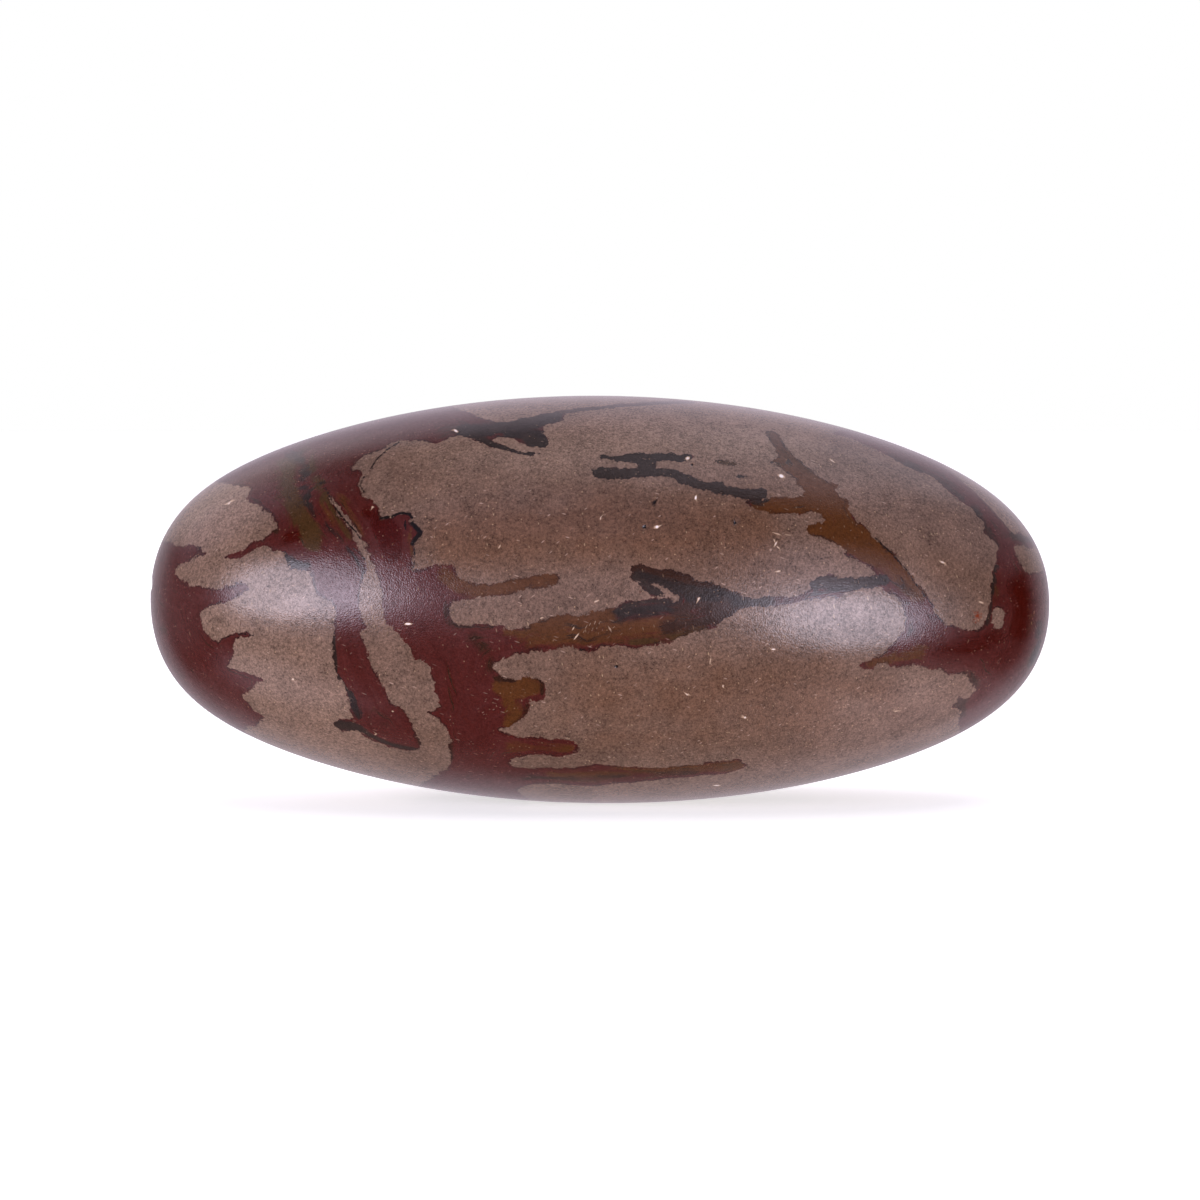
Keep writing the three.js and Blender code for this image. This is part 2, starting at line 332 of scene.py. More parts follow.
            (27.9, 16.05), (27.5, 16.4), (27.15, 16.8), (27.0, 17.3), (26.0, 17.9),
        ),
    ),
    Outline(
        "island on the right shoulder",
        (
            (34.4, 21.75), (34.6, 22.0), (35.3, 21.85), (35.9, 21.6), (37.0, 21.5), (41.0, 21.3),
            (41.0, 19.9), (37.3, 19.8), (36.5, 19.6), (35.9, 19.6), (35.3, 19.75), (35.0, 20.2),
            (34.8, 20.7), (34.5, 21.3),
        ),
        island=True,
    ),
    Outline(
        "island at the right end",
        (
            (32.35, 16.8), (32.8, 17.0), (33.25, 16.9), (33.35, 16.4), (33.1, 15.9), (33.2, 15.5),
            (32.9, 15.15), (32.5, 15.3), (32.2, 15.7), (32.3, 16.3),
        ),
        island=True,
    ),
    Outline(
        "upper bar",
        (
            (-0.1, 29.4), (0.3, 29.55), (1.0, 29.4), (1.6, 29.45), (2.3, 29.6), (3.3, 29.7), (4.5, 29.7),
            (5.5, 29.72), (6.35, 29.6), (7.1, 29.6), (7.7, 29.45), (7.4, 29.15), (6.5, 28.98),
            (5.5, 29.05), (4.75, 28.95), (4.6, 28.6), (4.6, 28.0), (3.3, 28.0), (3.25, 28.4),
            (2.95, 28.75), (2.4, 28.85), (1.6, 29.0), (0.7, 29.1), (0.0, 29.2),
        ),
    ),
    Outline(
        "lower bar",
        (
            (-0.8, 28.1), (-0.4, 28.4), (0.25, 28.55), (1.0, 28.5), (2.0, 28.5), (3.3, 28.5), (4.5, 28.45),
            (5.7, 28.4), (6.5, 28.25), (7.2, 27.9), (7.75, 27.6), (8.4, 27.35), (9.1, 27.35),
            (9.95, 27.35), (10.3, 27.05), (10.8, 26.85), (11.6, 26.85), (12.4, 26.85), (13.2, 26.85),
            (13.6, 26.7), (13.7, 26.3), (13.5, 25.95), (12.9, 25.9), (12.1, 25.9), (11.3, 26.05),
            (10.5, 26.2), (9.6, 26.3), (8.8, 26.55), (8.0, 26.8), (7.2, 27.05), (6.5, 27.3), (6.05, 27.6),
            (5.7, 27.8), (4.9, 27.8), (3.7, 27.7), (2.5, 27.6), (1.3, 27.55), (0.3, 27.55),
            (-0.4, 27.7),
        ),
    ),
    Outline(
        "spot",
        (
            (9.3, 28.95), (9.7, 29.1), (10.3, 29.05), (11.0, 28.95), (11.4, 28.8), (10.9, 28.7),
            (10.2, 28.75), (9.7, 28.8),
        ),
    ),
    Outline("small spot", ((11.0, 27.75), (11.5, 27.9), (12.0, 27.85), (12.1, 27.7), (11.6, 27.6))),
    Outline(
        "cap on the back",
        (
            (-41, 22.6), (-35.9, 22.4), (-34.6, 23.2), (-33.0, 22.6), (-31.5, 21.2), (-31.9, 19.4),
            (-30.4, 18.3), (-28.2, 18.6), (-27.4, 17.4), (-29.0, 16.1), (-30.3, 14.6), (-29.2, 12.9),
            (-26.6, 12.3), (-25.4, 11.2), (-26.9, 9.9), (-28.6, 9.4), (-29.2, 7.9), (-28.8, 6.6),
            (-29.8, 5.9), (-29.9, 3), (-41, 3),
        ),
        Side.BACK,
    ),
    Outline(
        "band on the back",
        (
            (-33.5, 28.5), (-32.3, 27.1), (-30.4, 26.2), (-28.6, 26.4), (-27.2, 25.0), (-27.4, 23.0),
            (-25.2, 21.6), (-24.6, 19.4), (-25.8, 17.8), (-24.2, 16.0), (-22.0, 15.4), (-21.2, 13.2),
            (-22.2, 11.2), (-20.6, 9.6), (-18.9, 9.9), (-18.2, 11.8), (-16.6, 12.6), (-15.4, 11.4),
            (-16.6, 9.4), (-17.4, 7.2), (-16.0, 5.6), (-16.2, 3.4), (-15.2, 1.6), (-15.2, -3.0),
            (-5.7, -3.0), (-6.2, 0.8), (-7.4, 2.2), (-6.4, 3.8), (-3.8, 4.4), (-0.4, 4.6), (3.6, 5.9),
            (3.4, 6.6), (-0.8, 6.4), (-4.6, 6.6), (-7.0, 7.6), (-7.6, 9.4), (-6.0, 10.8), (-4.2, 11.4),
            (-4.8, 12.8), (-7.2, 13.0), (-8.8, 14.2), (-9.0, 16.2), (-7.4, 17.2), (-4.2, 17.4),
            (0.2, 18.6), (3.4, 20.4), (3.0, 21.2), (-0.6, 20.8), (-4.6, 19.8), (-8.2, 19.9),
            (-10.4, 20.8), (-10.8, 22.6), (-9.2, 23.8), (-9.6, 25.6), (-11.8, 26.4), (-12.4, 28.2),
            (-11.4, 29.6), (-8.4, 30.4), (-4.8, 30.6), (-2.2, 31.6), (-4.4, 32.2), (-8.8, 31.9),
            (-11.8, 32.6), (-13.0, 33.6), (-14.0, 38.0), (-35.5, 38.0),
        ),
        Side.BACK,
    ),
    Outline(
        "ochre vein on the back",
        (
            (8.2, 31.4), (9.6, 31.8), (11.0, 30.6), (11.8, 28.4), (13.6, 26.6), (14.0, 24.4),
            (15.8, 22.6), (18.6, 21.6), (21.0, 19.4), (24.4, 18.6), (27.8, 16.4), (31.6, 16.6),
            (32.8, 15.2), (30.0, 14.2), (26.6, 14.8), (23.6, 16.4), (20.2, 16.8), (17.6, 18.6),
            (14.4, 19.2), (12.2, 21.0), (11.6, 23.2), (9.6, 24.6), (9.4, 27.0), (8.0, 29.0),
        ),
        Side.BACK,
    ),
    Outline(
        "charcoal vein on the back",
        (
            (2.6, 13.0), (5.2, 13.9), (8.4, 13.6), (11.6, 12.2), (15.2, 11.6), (18.0, 10.0), (17.4, 9.2),
            (14.2, 9.9), (10.8, 10.2), (8.0, 9.2), (6.0, 9.6), (5.4, 11.0), (3.4, 11.6),
        ),
        Side.BACK,
    ),
    Outline(
        "right end on the back",
        (
            (28.9, 28.6), (28.3, 31.0), (23.5, 31.5), (20.6, 31.2), (22.4, 29.8), (25.2, 28.6),
            (27.0, 26.8), (29.4, 25.8), (30.2, 24.0), (32.2, 22.8), (32.8, 20.6), (31.6, 19.0),
            (32.4, 17.0), (31.0, 15.2), (27.6, 14.6), (26.4, 13.2), (28.2, 11.6), (28.0, 9.8),
            (29.6, 8.8), (29.4, 7.0), (30.6, 3.0), (41, 3.0), (41, 23.2), (37.0, 23.2), (36.4, 23.5),
            (35.5, 24.1), (34.6, 24.4), (33.7, 25.1), (32.8, 25.5), (31.9, 26.4), (31.0, 26.8),
            (29.75, 27.65),
        ),
        Side.BACK,
    ),
    Outline(
        "back of the island",
        (
            (36.3, 20.8), (36.7, 21.0), (37.0, 21.2), (37.25, 21.45), (41.0, 21.3), (41.0, 19.9),
            (37.3, 19.85), (37.1, 20.0), (36.8, 20.2), (36.5, 20.5),
        ),
        Side.BACK,
        island=True,
    ),
)

STREAKS: dict[Tint, tuple[Streak, ...]] = {
    # Paler ground on the top and the left end, front and back: partly its own colour, partly painted light and
    # a painted reflection of the haze that falls there.
    Tint.PALE: (
        Streak(((-14, 31.5), (-4, 30.8), (6, 31.2), (16, 31.5)), 5.0, 3.0, 0.9),
        Streak(((-33, 25), (-30, 26)), 6.0, 4.0, 1.0),
        Streak(((-30, 20), (-28, 12), (-22, 6)), 9.0, 6.0, 0.7),
        Streak(((-14, 30.4), (-6, 29.0), (2, 29.6)), 2.0, 2.0, 0.8),
        Streak(((-20, 26), (10, 31), (30, 24)), 6.0, 5.0, 0.7, Side.BACK),
        Streak(((-30, 12), (-22, 6)), 8.0, 5.0, 0.7, Side.BACK),
    ),
    Tint.WARM: (
        Streak(((-12, 22.6), (0, 23.8), (12, 23.2)), 5.0, 3.0),
        Streak(((9, 23.4), (13, 22.6)), 2.4, 2.0, 0.7),
        Streak(((0, 10.5), (10, 10.0), (17, 9.8)), 6.5, 4.0, 0.8),
        Streak(((0, 6.6), (8, 6.8)), 2.6, 2.5, 0.6),
        Streak(((6, 12.4), (12, 12.0)), 2.4, 2.0, 0.8),
        Streak(((16, 11.2), (23, 10.4)), 2.2, 2.0, 0.8),
        Streak(((-6, 12), (6, 9), (20, 8)), 5.0, 4.0, 0.8, Side.BACK),
        Streak(((-4, 24), (6, 26)), 4.0, 3.0, 0.7, Side.BACK),
    ),
    Tint.RUST: (
        Streak(((-17.6, 23.9), (-16.9, 23.0), (-16.9, 21.8)), 1.9, 0.7),
        Streak(((-18.9, 25.0), (-18.0, 24.4)), 1.0, 0.8, 0.8),
        Streak(((-25.6, 22.7), (-24.4, 23.0)), 0.9, 0.6),
        Streak(((-24.9, 23.8), (-24.4, 24.5)), 0.5, 0.5, 0.7),
        Streak(((-13.2, 13.4), (-12.0, 11.6), (-11.6, 9.6)), 2.4, 1.8, 0.3),
        Streak(((-14.4, 15.2), (-13.2, 14.8)), 1.4, 1.0, 0.3),
        Streak(((-20.6, 13.9), (-19.9, 12.6), (-19.3, 11.2)), 1.0, 0.9, 0.4),
        Streak(((1.8, 16.5), (3.6, 16.3), (5.4, 16.5)), 0.35, 0.4, 0.9),
        Streak(((3.6, 15.8), (5.0, 16.0), (6.0, 15.9)), 0.3, 0.4, 0.8),
        Streak(((-4.6, 14.8), (-2.6, 14.9), (-1.6, 15.3)), 0.7, 0.5, 0.7),
        Streak(((0.2, 15.5), (2.0, 15.3), (3.6, 15.3)), 0.7, 0.6, 0.7),
        Streak(((34.6, 18.6), (35.2, 16.6), (34.9, 14.8)), 1.8, 1.4),
        Streak(((28.2, 13.4), (30.6, 13.9), (32.6, 14.4)), 1.6, 1.2, 0.7),
        Streak(((32.9, 20.2), (33.4, 22.0)), 0.7, 0.8, 0.6),
        Streak(((-34.2, 21.4), (-33.2, 21.5)), 0.9, 0.8, 0.7),
        Streak(((-33.4, 15.9), (-32.2, 13.0)), 1.6, 1.6, 0.4),
        Streak(((-12.2, 8.0), (-10.6, 6.0)), 2.2, 2.0, 0.2),
        Streak(((-27.0, 21.0), (-25.6, 24.5), (-29.5, 26.0)), 1.2, 1.0, 0.8, Side.BACK),
        Streak(((-12.5, 12.0), (-12.5, 18.0), (-14.0, 24.0)), 2.6, 2.0, 0.8, Side.BACK),
        Streak(((33.8, 12.0), (35.0, 18.0)), 2.2, 1.6, 1.0, Side.BACK),
    ),
    Tint.OCHRE: (
        Streak(((-12.4, 19.9), (-11.0, 18.9), (-9.4, 18.7)), 1.5, 0.9, 0.9),
        Streak(((-9.6, 18.8), (-7.0, 19.1), (-4.8, 19.5), (-3.6, 19.6)), 1.5, 0.6),
        Streak(((-7.6, 15.3), (-6.0, 15.3), (-4.9, 15.7)), 0.5, 0.4, 0.8),
        Streak(((-5.6, 15.9), (-3.6, 16.2), (-1.8, 16.3), (0.8, 16.8)), 1.3, 0.4),
        Streak(((-2.2, 15.4), (0.4, 16.0)), 0.8, 0.6, 0.8),
        Streak(((-6.4, 14.6), (-5.2, 14.5)), 0.8, 0.5, 0.7),
        Streak(((-1.2, 14.7), (0.1, 14.7)), 0.5, 0.3),
        Streak(((0.8, 15.6), (3.0, 15.8), (5.0, 16.1), (7.2, 16.6)), 1.3, 0.8, 0.8),
        Streak(((-5.6, 14.7), (-1.0, 14.9), (3.0, 15.4), (6.4, 15.8)), 1.3, 0.9, 0.85),
        Streak(((-7.9, 10.8), (-6.6, 10.7), (-5.4, 10.9)), 1.6, 0.5),
        Streak(((-7.4, 9.6), (-6.9, 8.6), (-7.3, 7.8)), 1.3, 0.6, 0.9),
        Streak(((-7.2, 5.7), (-5.2, 5.7), (-3.4, 5.6), (-2.4, 5.6)), 0.9, 0.9, 0.6),
        Streak(((14.0, 31.0), (15.1, 29.2), (16.8, 27.4)), 2.4, 0.7),
        Streak(((16.8, 27.6), (18.4, 26.4), (19.0, 25.2)), 3.4, 0.6),
        Streak(((13.0, 25.6), (14.6, 25.5), (17.4, 25.5)), 1.6, 0.4),
        Streak(((17.2, 23.5), (19.2, 23.7), (20.8, 22.8), (22.4, 21.8)), 2.6, 0.5),
        Streak(((22.6, 21.2), (24.2, 20.0), (25.8, 18.4)), 1.7, 0.7, 0.9),
        Streak(((22.0, 12.6), (23.6, 12.9), (25.0, 13.2), (26.2, 13.5)), 1.1, 0.9, 0.8),
        Streak(((-22.9, 25.6), (-22.2, 24.6), (-21.3, 23.6), (-20.6, 22.6)), 0.6, 0.8, 0.65),
        Streak(((-21.2, 26.2), (-20.2, 24.9), (-19.4, 23.4), (-18.5, 21.4)), 0.5, 0.8, 0.55),
        Streak(((-15.3, 23.6), (-15.4, 22.6), (-15.2, 21.6)), 0.35, 0.4, 0.7),
        Streak(((-4.0, 3.1), (0.0, 3.1), (4.0, 3.5), (8.0, 3.7), (11.4, 3.9)), 1.1, 0.9, 0.8),
        Streak(((35.6, 16.6), (36.0, 15.0)), 0.8, 0.8, 0.5),
        Streak(
            ((9.0, 31.0), (10.4, 28.4), (12.6, 25.4), (14.4, 22.0), (18.2, 20.0)), 3.0, 0.6, 1.0, Side.BACK
        ),
        Streak(((18.2, 20.0), (23.0, 17.4), (28.0, 15.6), (32.0, 15.9)), 2.4, 0.6, 0.9, Side.BACK),
        Streak(((-0.4, 20.0), (2.4, 20.7)), 1.2, 0.6, 1.0, Side.BACK),
        Streak(((-8.6, 8.4), (-6.0, 11.6)), 1.4, 0.8, 0.9, Side.BACK),
        Streak(((-2.0, 5.4), (3.0, 6.2)), 0.8, 0.6, 0.9, Side.BACK),
    ),
    Tint.OLIVE: (
        Streak(
            ((-25.9, 28.9), (-25.9, 27.4), (-25.3, 25.8), (-24.6, 24.5), (-23.6, 23.4), (-23.3, 22.4)),
            1.5,
            0.9,
        ),
        Streak(((-23.9, 29.0), (-23.7, 28.0), (-23.0, 27.0), (-22.6, 26.0)), 0.8, 0.5, 0.8),
        Streak(((-22.4, 26.0), (-21.8, 25.0), (-21.0, 23.8), (-20.3, 22.8)), 0.45, 0.4, 0.9),
        Streak(((-26.9, 28.6), (-26.9, 27.2), (-26.4, 26.0)), 0.5, 0.6, 0.7),
        Streak(((-24.0, 31.0), (-24.8, 29.6)), 1.4, 1.0, 0.6),
        Streak(((13.9, 31.3), (15.4, 29.9), (17.0, 28.5), (18.4, 27.6)), 0.9, 0.8, 0.5),
        Streak(((13.9, 28.9), (15.0, 28.7)), 0.3, 0.3, 0.8),
        Streak(((2.6, 14.6), (4.6, 14.8), (6.4, 15.2), (8.4, 15.7)), 0.6, 0.4, 0.9),
        Streak(((5.4, 15.6), (7.4, 16.0), (9.2, 16.4)), 0.8, 0.6, 0.7),
        Streak(((0.0, 3.1), (4.0, 3.5), (8.0, 3.7), (11.6, 4.1)), 0.8, 0.8, 0.35),
        Streak(((9.4, 28.9), (11.2, 28.8)), 0.5, 0.3, 0.9),
        Streak(((32.6, 18.6), (32.5, 17.4)), 0.6, 0.5, 0.6),
        Streak(((36.2, 13.4), (35.8, 11.4)), 0.8, 0.8, 0.5),
        Streak(((-27.0, 23.0), (-25.4, 26.0), (-26.4, 30.0)), 1.0, 0.6, 0.9, Side.BACK),
        Streak(((10.2, 30.6), (11.0, 27.6)), 0.8, 0.5, 0.8, Side.BACK),
        Streak(((24.0, 17.0), (30.0, 15.2)), 0.6, 0.5, 0.8, Side.BACK),
    ),
    Tint.MAUVE: (
        Streak(((6.2, 17.2), (8.2, 17.2), (10.2, 17.4), (11.4, 17.6)), 1.6, 0.7, 0.9),
        Streak(((5.4, 15.8), (8.0, 16.3), (10.4, 16.8)), 1.5, 1.0, 0.9),
        Streak(((-6.8, 14.4), (-4.0, 14.4), (-1.0, 14.6), (2.6, 15.0)), 0.6, 0.8, 0.45),
        Streak(((2.9, 20.1), (5.0, 19.9), (7.4, 19.2), (10.4, 18.4), (13, 18.0)), 2.4, 0.8),
        Streak(((2.8, 20.7), (3.5, 20.6)), 0.4, 0.3),
        Streak(((-12.3, 18.6), (-12.4, 17.4), (-12.3, 16.2), (-11.2, 15.7), (-8.8, 15.7)), 0.5, 0.4, 0.8),
        Streak(((-10.2, 15.0), (-9.2, 13.8), (-8.9, 12.4)), 0.9, 0.8, 0.7),
        Streak(((-8.4, 11.5), (-7.0, 11.4)), 0.5, 0.4, 0.8),
        Streak(((-5.9, 9.3), (-6.1, 8.5), (-7.0, 7.6)), 0.5, 0.4, 0.7),
        Streak(((-4.8, 11.3), (-4.7, 10.4)), 0.5, 0.4, 0.8),
        Streak(((22.6, 20.2), (23.8, 19.4), (25.0, 18.5), (26.0, 17.6)), 0.8, 0.8, 0.45),
        Streak(((24.2, 29.3), (26.0, 28.5), (28.2, 27.4), (30.0, 26.0)), 0.9, 0.7, 0.7),
        Streak(((31.0, 24.9), (31.8, 23.6), (32.2, 22.8), (32.8, 22.0)), 0.8, 0.6, 0.9),
        Streak(((34.2, 22.7), (35.2, 22.5), (36.6, 22.2)), 0.6, 0.5),
        Streak(((29.0, 9.1), (30.0, 8.9), (29.9, 7.8)), 0.9, 0.6, 0.9),
        Streak(((30.0, 11.4), (31.2, 10.6)), 0.8, 0.7, 0.6),
        Streak(((-8.0, 2.9), (-4.0, 2.8), (0.0, 2.9), (4.0, 3.2), (8.0, 3.3)), 0.5, 0.5, 0.7),
        Streak(((-13.6, 3.6), (-12.2, 4.6), (-12.2, 6.2)), 0.5, 0.5, 0.7),
        Streak(((-16.2, 9.0), (-15.0, 7.6), (-14.8, 5.8)), 0.5, 0.5, 0.7),
        Streak(((-3.8, 32.9), (0.0, 33.3), (4.0, 33.6), (8.0, 33.75)), 0.5, 0.4, 0.9),
        Streak(((-13.0, 31.4), (-11.2, 31.6)), 1.2, 1.0, 0.7),
        Streak(((1.6, 28.1), (5.4, 28.2)), 0.5, 0.3, 0.8),
        Streak(((-28.6, 26.0), (-27.0, 23.8), (-26.4, 23.2)), 0.5, 0.4, 0.7),
        Streak(((3.0, 12.6), (8.0, 11.8), (16.0, 10.6)), 1.2, 0.8, 0.8, Side.BACK),
        Streak(((24.4, 28.8), (28.6, 26.6), (32.0, 22.6)), 0.8, 0.6, 0.8, Side.BACK),
        Streak(((-9.4, 20.4), (-9.6, 24.6)), 0.7, 0.5, 0.8, Side.BACK),
    ),
    Tint.SLATE: (
        Streak(((1.6, 16.9), (3.2, 17.2), (5.4, 17.4)), 1.2, 1.0),
        Streak(((3.2, 19.9), (4.4, 19.5), (6.0, 19.0), (7.6, 18.6), (9.6, 18.4)), 1.1, 0.8),
        Streak(((6.4, 18.2), (8.6, 18.2), (11.0, 18.2)), 0.8, 0.5, 0.8),
        Streak(((11.0, 17.8), (13.0, 17.8), (15.2, 17.8), (17.4, 18.3)), 0.9, 0.5, 0.6),
        Streak(((17.4, 19.1), (19.4, 19.2), (21.6, 19.3), (23.0, 19.4)), 1.1, 0.5),
        Streak(((17.6, 18.5), (20.0, 18.6), (22.4, 18.9)), 0.7, 0.6, 0.6),
        Streak(((23.4, 18.7), (24.2, 18.1), (25.0, 17.5)), 0.6, 0.6, 0.5),
        Streak(((24.8, 16.6), (25.2, 15.2)), 0.8, 1.0, 0.4),
        Streak(((27.2, 16.4), (29.2, 15.4), (31.2, 15.3)), 0.7, 0.7, 0.6),
        Streak(((-25.8, 29.5), (-24.8, 29.1), (-24.3, 28.0)), 1.0, 0.6, 0.8),
        Streak(((-24.7, 28.0), (-24.3, 26.8), (-23.8, 25.6), (-23.1, 24.5)), 0.5, 0.4, 0.9),
        Streak(((-22.5, 23.8), (-21.6, 23.2), (-20.9, 22.6)), 0.7, 0.8, 0.6),
        Streak(((-25.8, 21.2), (-24.8, 20.7), (-23.9, 20.7)), 0.9, 0.5, 0.8),
        Streak(((-20.5, 21.9), (-19.7, 21.3), (-19.2, 20.6), (-18.9, 19.6)), 0.7, 0.4, 0.6),
        Streak(((-19.6, 18.2), (-19.6, 16.6)), 0.5, 0.5, 0.5),
        Streak(((-11.4, 31.4), (-9.4, 31.6), (-7.4, 31.8), (-5.6, 32.1), (-3.6, 32.6)), 1.1, 0.5),
        Streak(((-7.6, 31.3), (-6.0, 31.2), (-4.9, 31.0)), 1.0, 0.5),
        Streak(((0.6, 29.3), (2.4, 29.3), (4.4, 29.45), (6.5, 29.35)), 0.5, 0.25),
        Streak(((0.3, 28.1), (1.8, 28.1)), 0.4, 0.25),
        Streak(((9.4, 26.8), (11.4, 26.5), (13.2, 26.4)), 0.7, 0.25),
        Streak(((-21.5, 7.45), (-20.6, 7.4), (-19.8, 7.0)), 0.7, 0.3),
        Streak(((-20.3, 10.0), (-20.1, 9.0), (-19.8, 8.2)), 0.6, 0.3),
        Streak(((36.6, 15.4), (36.7, 13.6), (36.2, 12.0)), 0.8, 0.7, 0.7),
        Streak(((4.0, 12.2), (7.4, 11.4), (11.0, 11.2)), 1.0, 0.5, 1.0, Side.BACK),
        Streak(((-24.6, 18.0), (-22.6, 14.6)), 0.7, 0.5, 0.8, Side.BACK),
        Streak(((-7.0, 31.2), (-3.4, 31.6)), 0.8, 0.5, 0.9, Side.BACK),
    ),
    Tint.CHARCOAL: (
        Streak(((0.2, 29.35), (2.0, 29.3), (4.2, 29.45), (6.8, 29.3)), 1.4, 0.3),
        Streak(((3.9, 29.0), (3.9, 28.3)), 1.6, 0.3),
        Streak(((-0.2, 28.1), (2.0, 28.1), (5.6, 28.15), (6.8, 27.7)), 1.4, 0.3, 0.9),
        Streak(((6.6, 27.7), (8.2, 27.1), (10.0, 26.8), (13.2, 26.4)), 1.6, 0.3),
        Streak(((10.6, 26.1), (12.2, 25.8), (13.2, 25.5)), 0.6, 0.4, 0.8),
        Streak(((11.2, 27.8), (11.9, 27.75)), 0.5, 0.3, 0.9),
        Streak(((2.9, 19.9), (3.4, 19.3), (4.0, 18.8), (5.0, 18.6)), 0.8, 0.3),
        Streak(((5.0, 19.3), (7.0, 18.7), (9.0, 18.4)), 0.9, 0.8, 0.6),
        Streak(((1.9, 17.5), (3.2, 17.75), (5.6, 17.85)), 0.45, 0.3, 0.9),
        Streak(((-6.0, 30.9), (-5.2, 30.4), (-4.6, 30.4)), 0.9, 0.4),
        Streak(((-10.4, 31.1), (-9.4, 30.6), (-8.4, 30.2), (-7.0, 29.75), (-5.2, 29.6)), 0.6, 0.3),
        Streak(((-9.0, 31.6), (-7.0, 32.0), (-5.0, 32.5)), 0.5, 0.4, 0.8),
        Streak(((17.8, 19.4), (19.6, 19.3), (22.0, 19.4)), 0.9, 0.4, 0.8),
        Streak(((-21.75, 15.0), (-21.7, 14.0), (-21.6, 13.0), (-21.55, 12.1)), 0.5, 0.25),
        Streak(((-21.4, 11.6), (-20.9, 10.8), (-20.5, 10.2)), 0.4, 0.3, 0.9),
        Streak(((-22.0, 7.5), (-21.2, 7.2), (-20.2, 7.2)), 0.8, 0.3, 0.8),
        Streak(((-19.7, 7.1), (-19.0, 6.5), (-17.8, 5.95), (-16.4, 5.5), (-15.0, 5.3)), 0.35, 0.25),
        Streak(((25.4, 28.7), (26.6, 28.25)), 0.5, 0.4, 0.8),
        Streak(((32.5, 20.4), (32.4, 19.3), (32.2, 18.0), (32.05, 16.6), (31.8, 15.6)), 0.45, 0.3, 0.8),
        Streak(((31.2, 24.8), (31.6, 24.0)), 0.4, 0.3, 0.7),
        Streak(((4.4, 11.6), (8.0, 10.6), (14.0, 10.8), (17.4, 9.6)), 1.2, 0.4, 1.0, Side.BACK),
        Streak(((-15.6, 8.2), (-15.8, 5.0)), 0.6, 0.4, 0.9, Side.BACK),
        Streak(((12.0, 23.4), (14.2, 21.0)), 0.6, 0.4, 0.8, Side.BACK),
    ),
    Tint.EMBER: (
        Streak(((30.8, 16.5), (30.9, 16.1)), 0.6, 0.5, 0.8),
    ),
    Tint.INK: (
        Streak(((-17.8, 24.4), (-16.9, 24.55), (-16.2, 24.85), (-15.4, 24.78), (-15.25, 24.5)), 0.2, 0.14),
        Streak(((-15.8, 24.2), (-15.75, 23.6)), 0.22, 0.2, 0.8),
        Streak(((-15.2, 24.0), (-14.8, 23.6), (-14.5, 23.3), (-14.9, 22.8), (-15.15, 22.4)), 0.36, 0.2),
        Streak(((-15.0, 22.0), (-14.95, 21.1), (-15.05, 20.5)), 0.12, 0.14, 0.9),
        Streak(((-16.6, 30.5), (-17.4, 30.0), (-18.2, 29.3), (-18.8, 28.4)), 0.12, 0.14, 0.9),
        Streak(((-17.6, 30.1), (-18.4, 29.8), (-19.1, 29.3)), 0.08, 0.14, 0.7),
        Streak(((-19.3, 27.8), (-19.6, 27.0), (-19.2, 26.4)), 0.12, 0.16, 0.8),
        Streak(((-23.3, 27.8), (-22.6, 26.9), (-22.0, 26.0), (-21.6, 25.2)), 0.1, 0.14, 0.9),
        Streak(((-21.6, 25.2), (-20.9, 24.4), (-20.3, 23.75), (-19.8, 23.3), (-19.4, 22.7)), 0.14, 0.14, 0.9),
        Streak(((-20.0, 22.0), (-19.4, 21.6), (-19.0, 21.0)), 0.14, 0.14, 0.7),
        Streak(((-31.4, 14.3), (-30.2, 14.75), (-29.2, 14.9), (-28.3, 14.75)), 0.1, 0.14, 0.9),
        Streak(((-24.6, 14.85), (-22.9, 14.95)), 0.06, 0.14, 0.6),
        Streak(((22.4, 22.8), (23.4, 21.85), (24.3, 20.9), (25.0, 20.15), (25.6, 19.2)), 0.12, 0.14, 0.8),
        Streak(((25.6, 19.2), (26.2, 18.4), (26.7, 17.8), (27.1, 17.3)), 0.12, 0.14, 0.8),
        Streak(((-1.6, 13.95), (-1.0, 13.85), (-0.5, 13.9)), 0.3, 0.25, 0.6),
        Streak(((15.1, 17.25), (16.3, 16.8), (16.9, 16.5)), 0.12, 0.2, 0.4),
        Streak(((17.4, 16.2), (18.6, 15.95)), 0.12, 0.2, 0.35),
        Streak(((17.6, 21.35), (18.0, 21.15)), 0.15, 0.14, 0.6),
        Streak(((-10.4, 31.0), (-9.0, 31.1), (-7.6, 30.95)), 0.2, 0.2, 0.6),
        Streak(((-24.4, 18.8), (-23.4, 16.4)), 0.12, 0.14, 0.7, Side.BACK),
        Streak(((13.9, 24.4), (15.6, 22.5), (18.4, 21.5), (20.8, 19.3)), 0.16, 0.16, 0.9, Side.BACK),
    ),
}

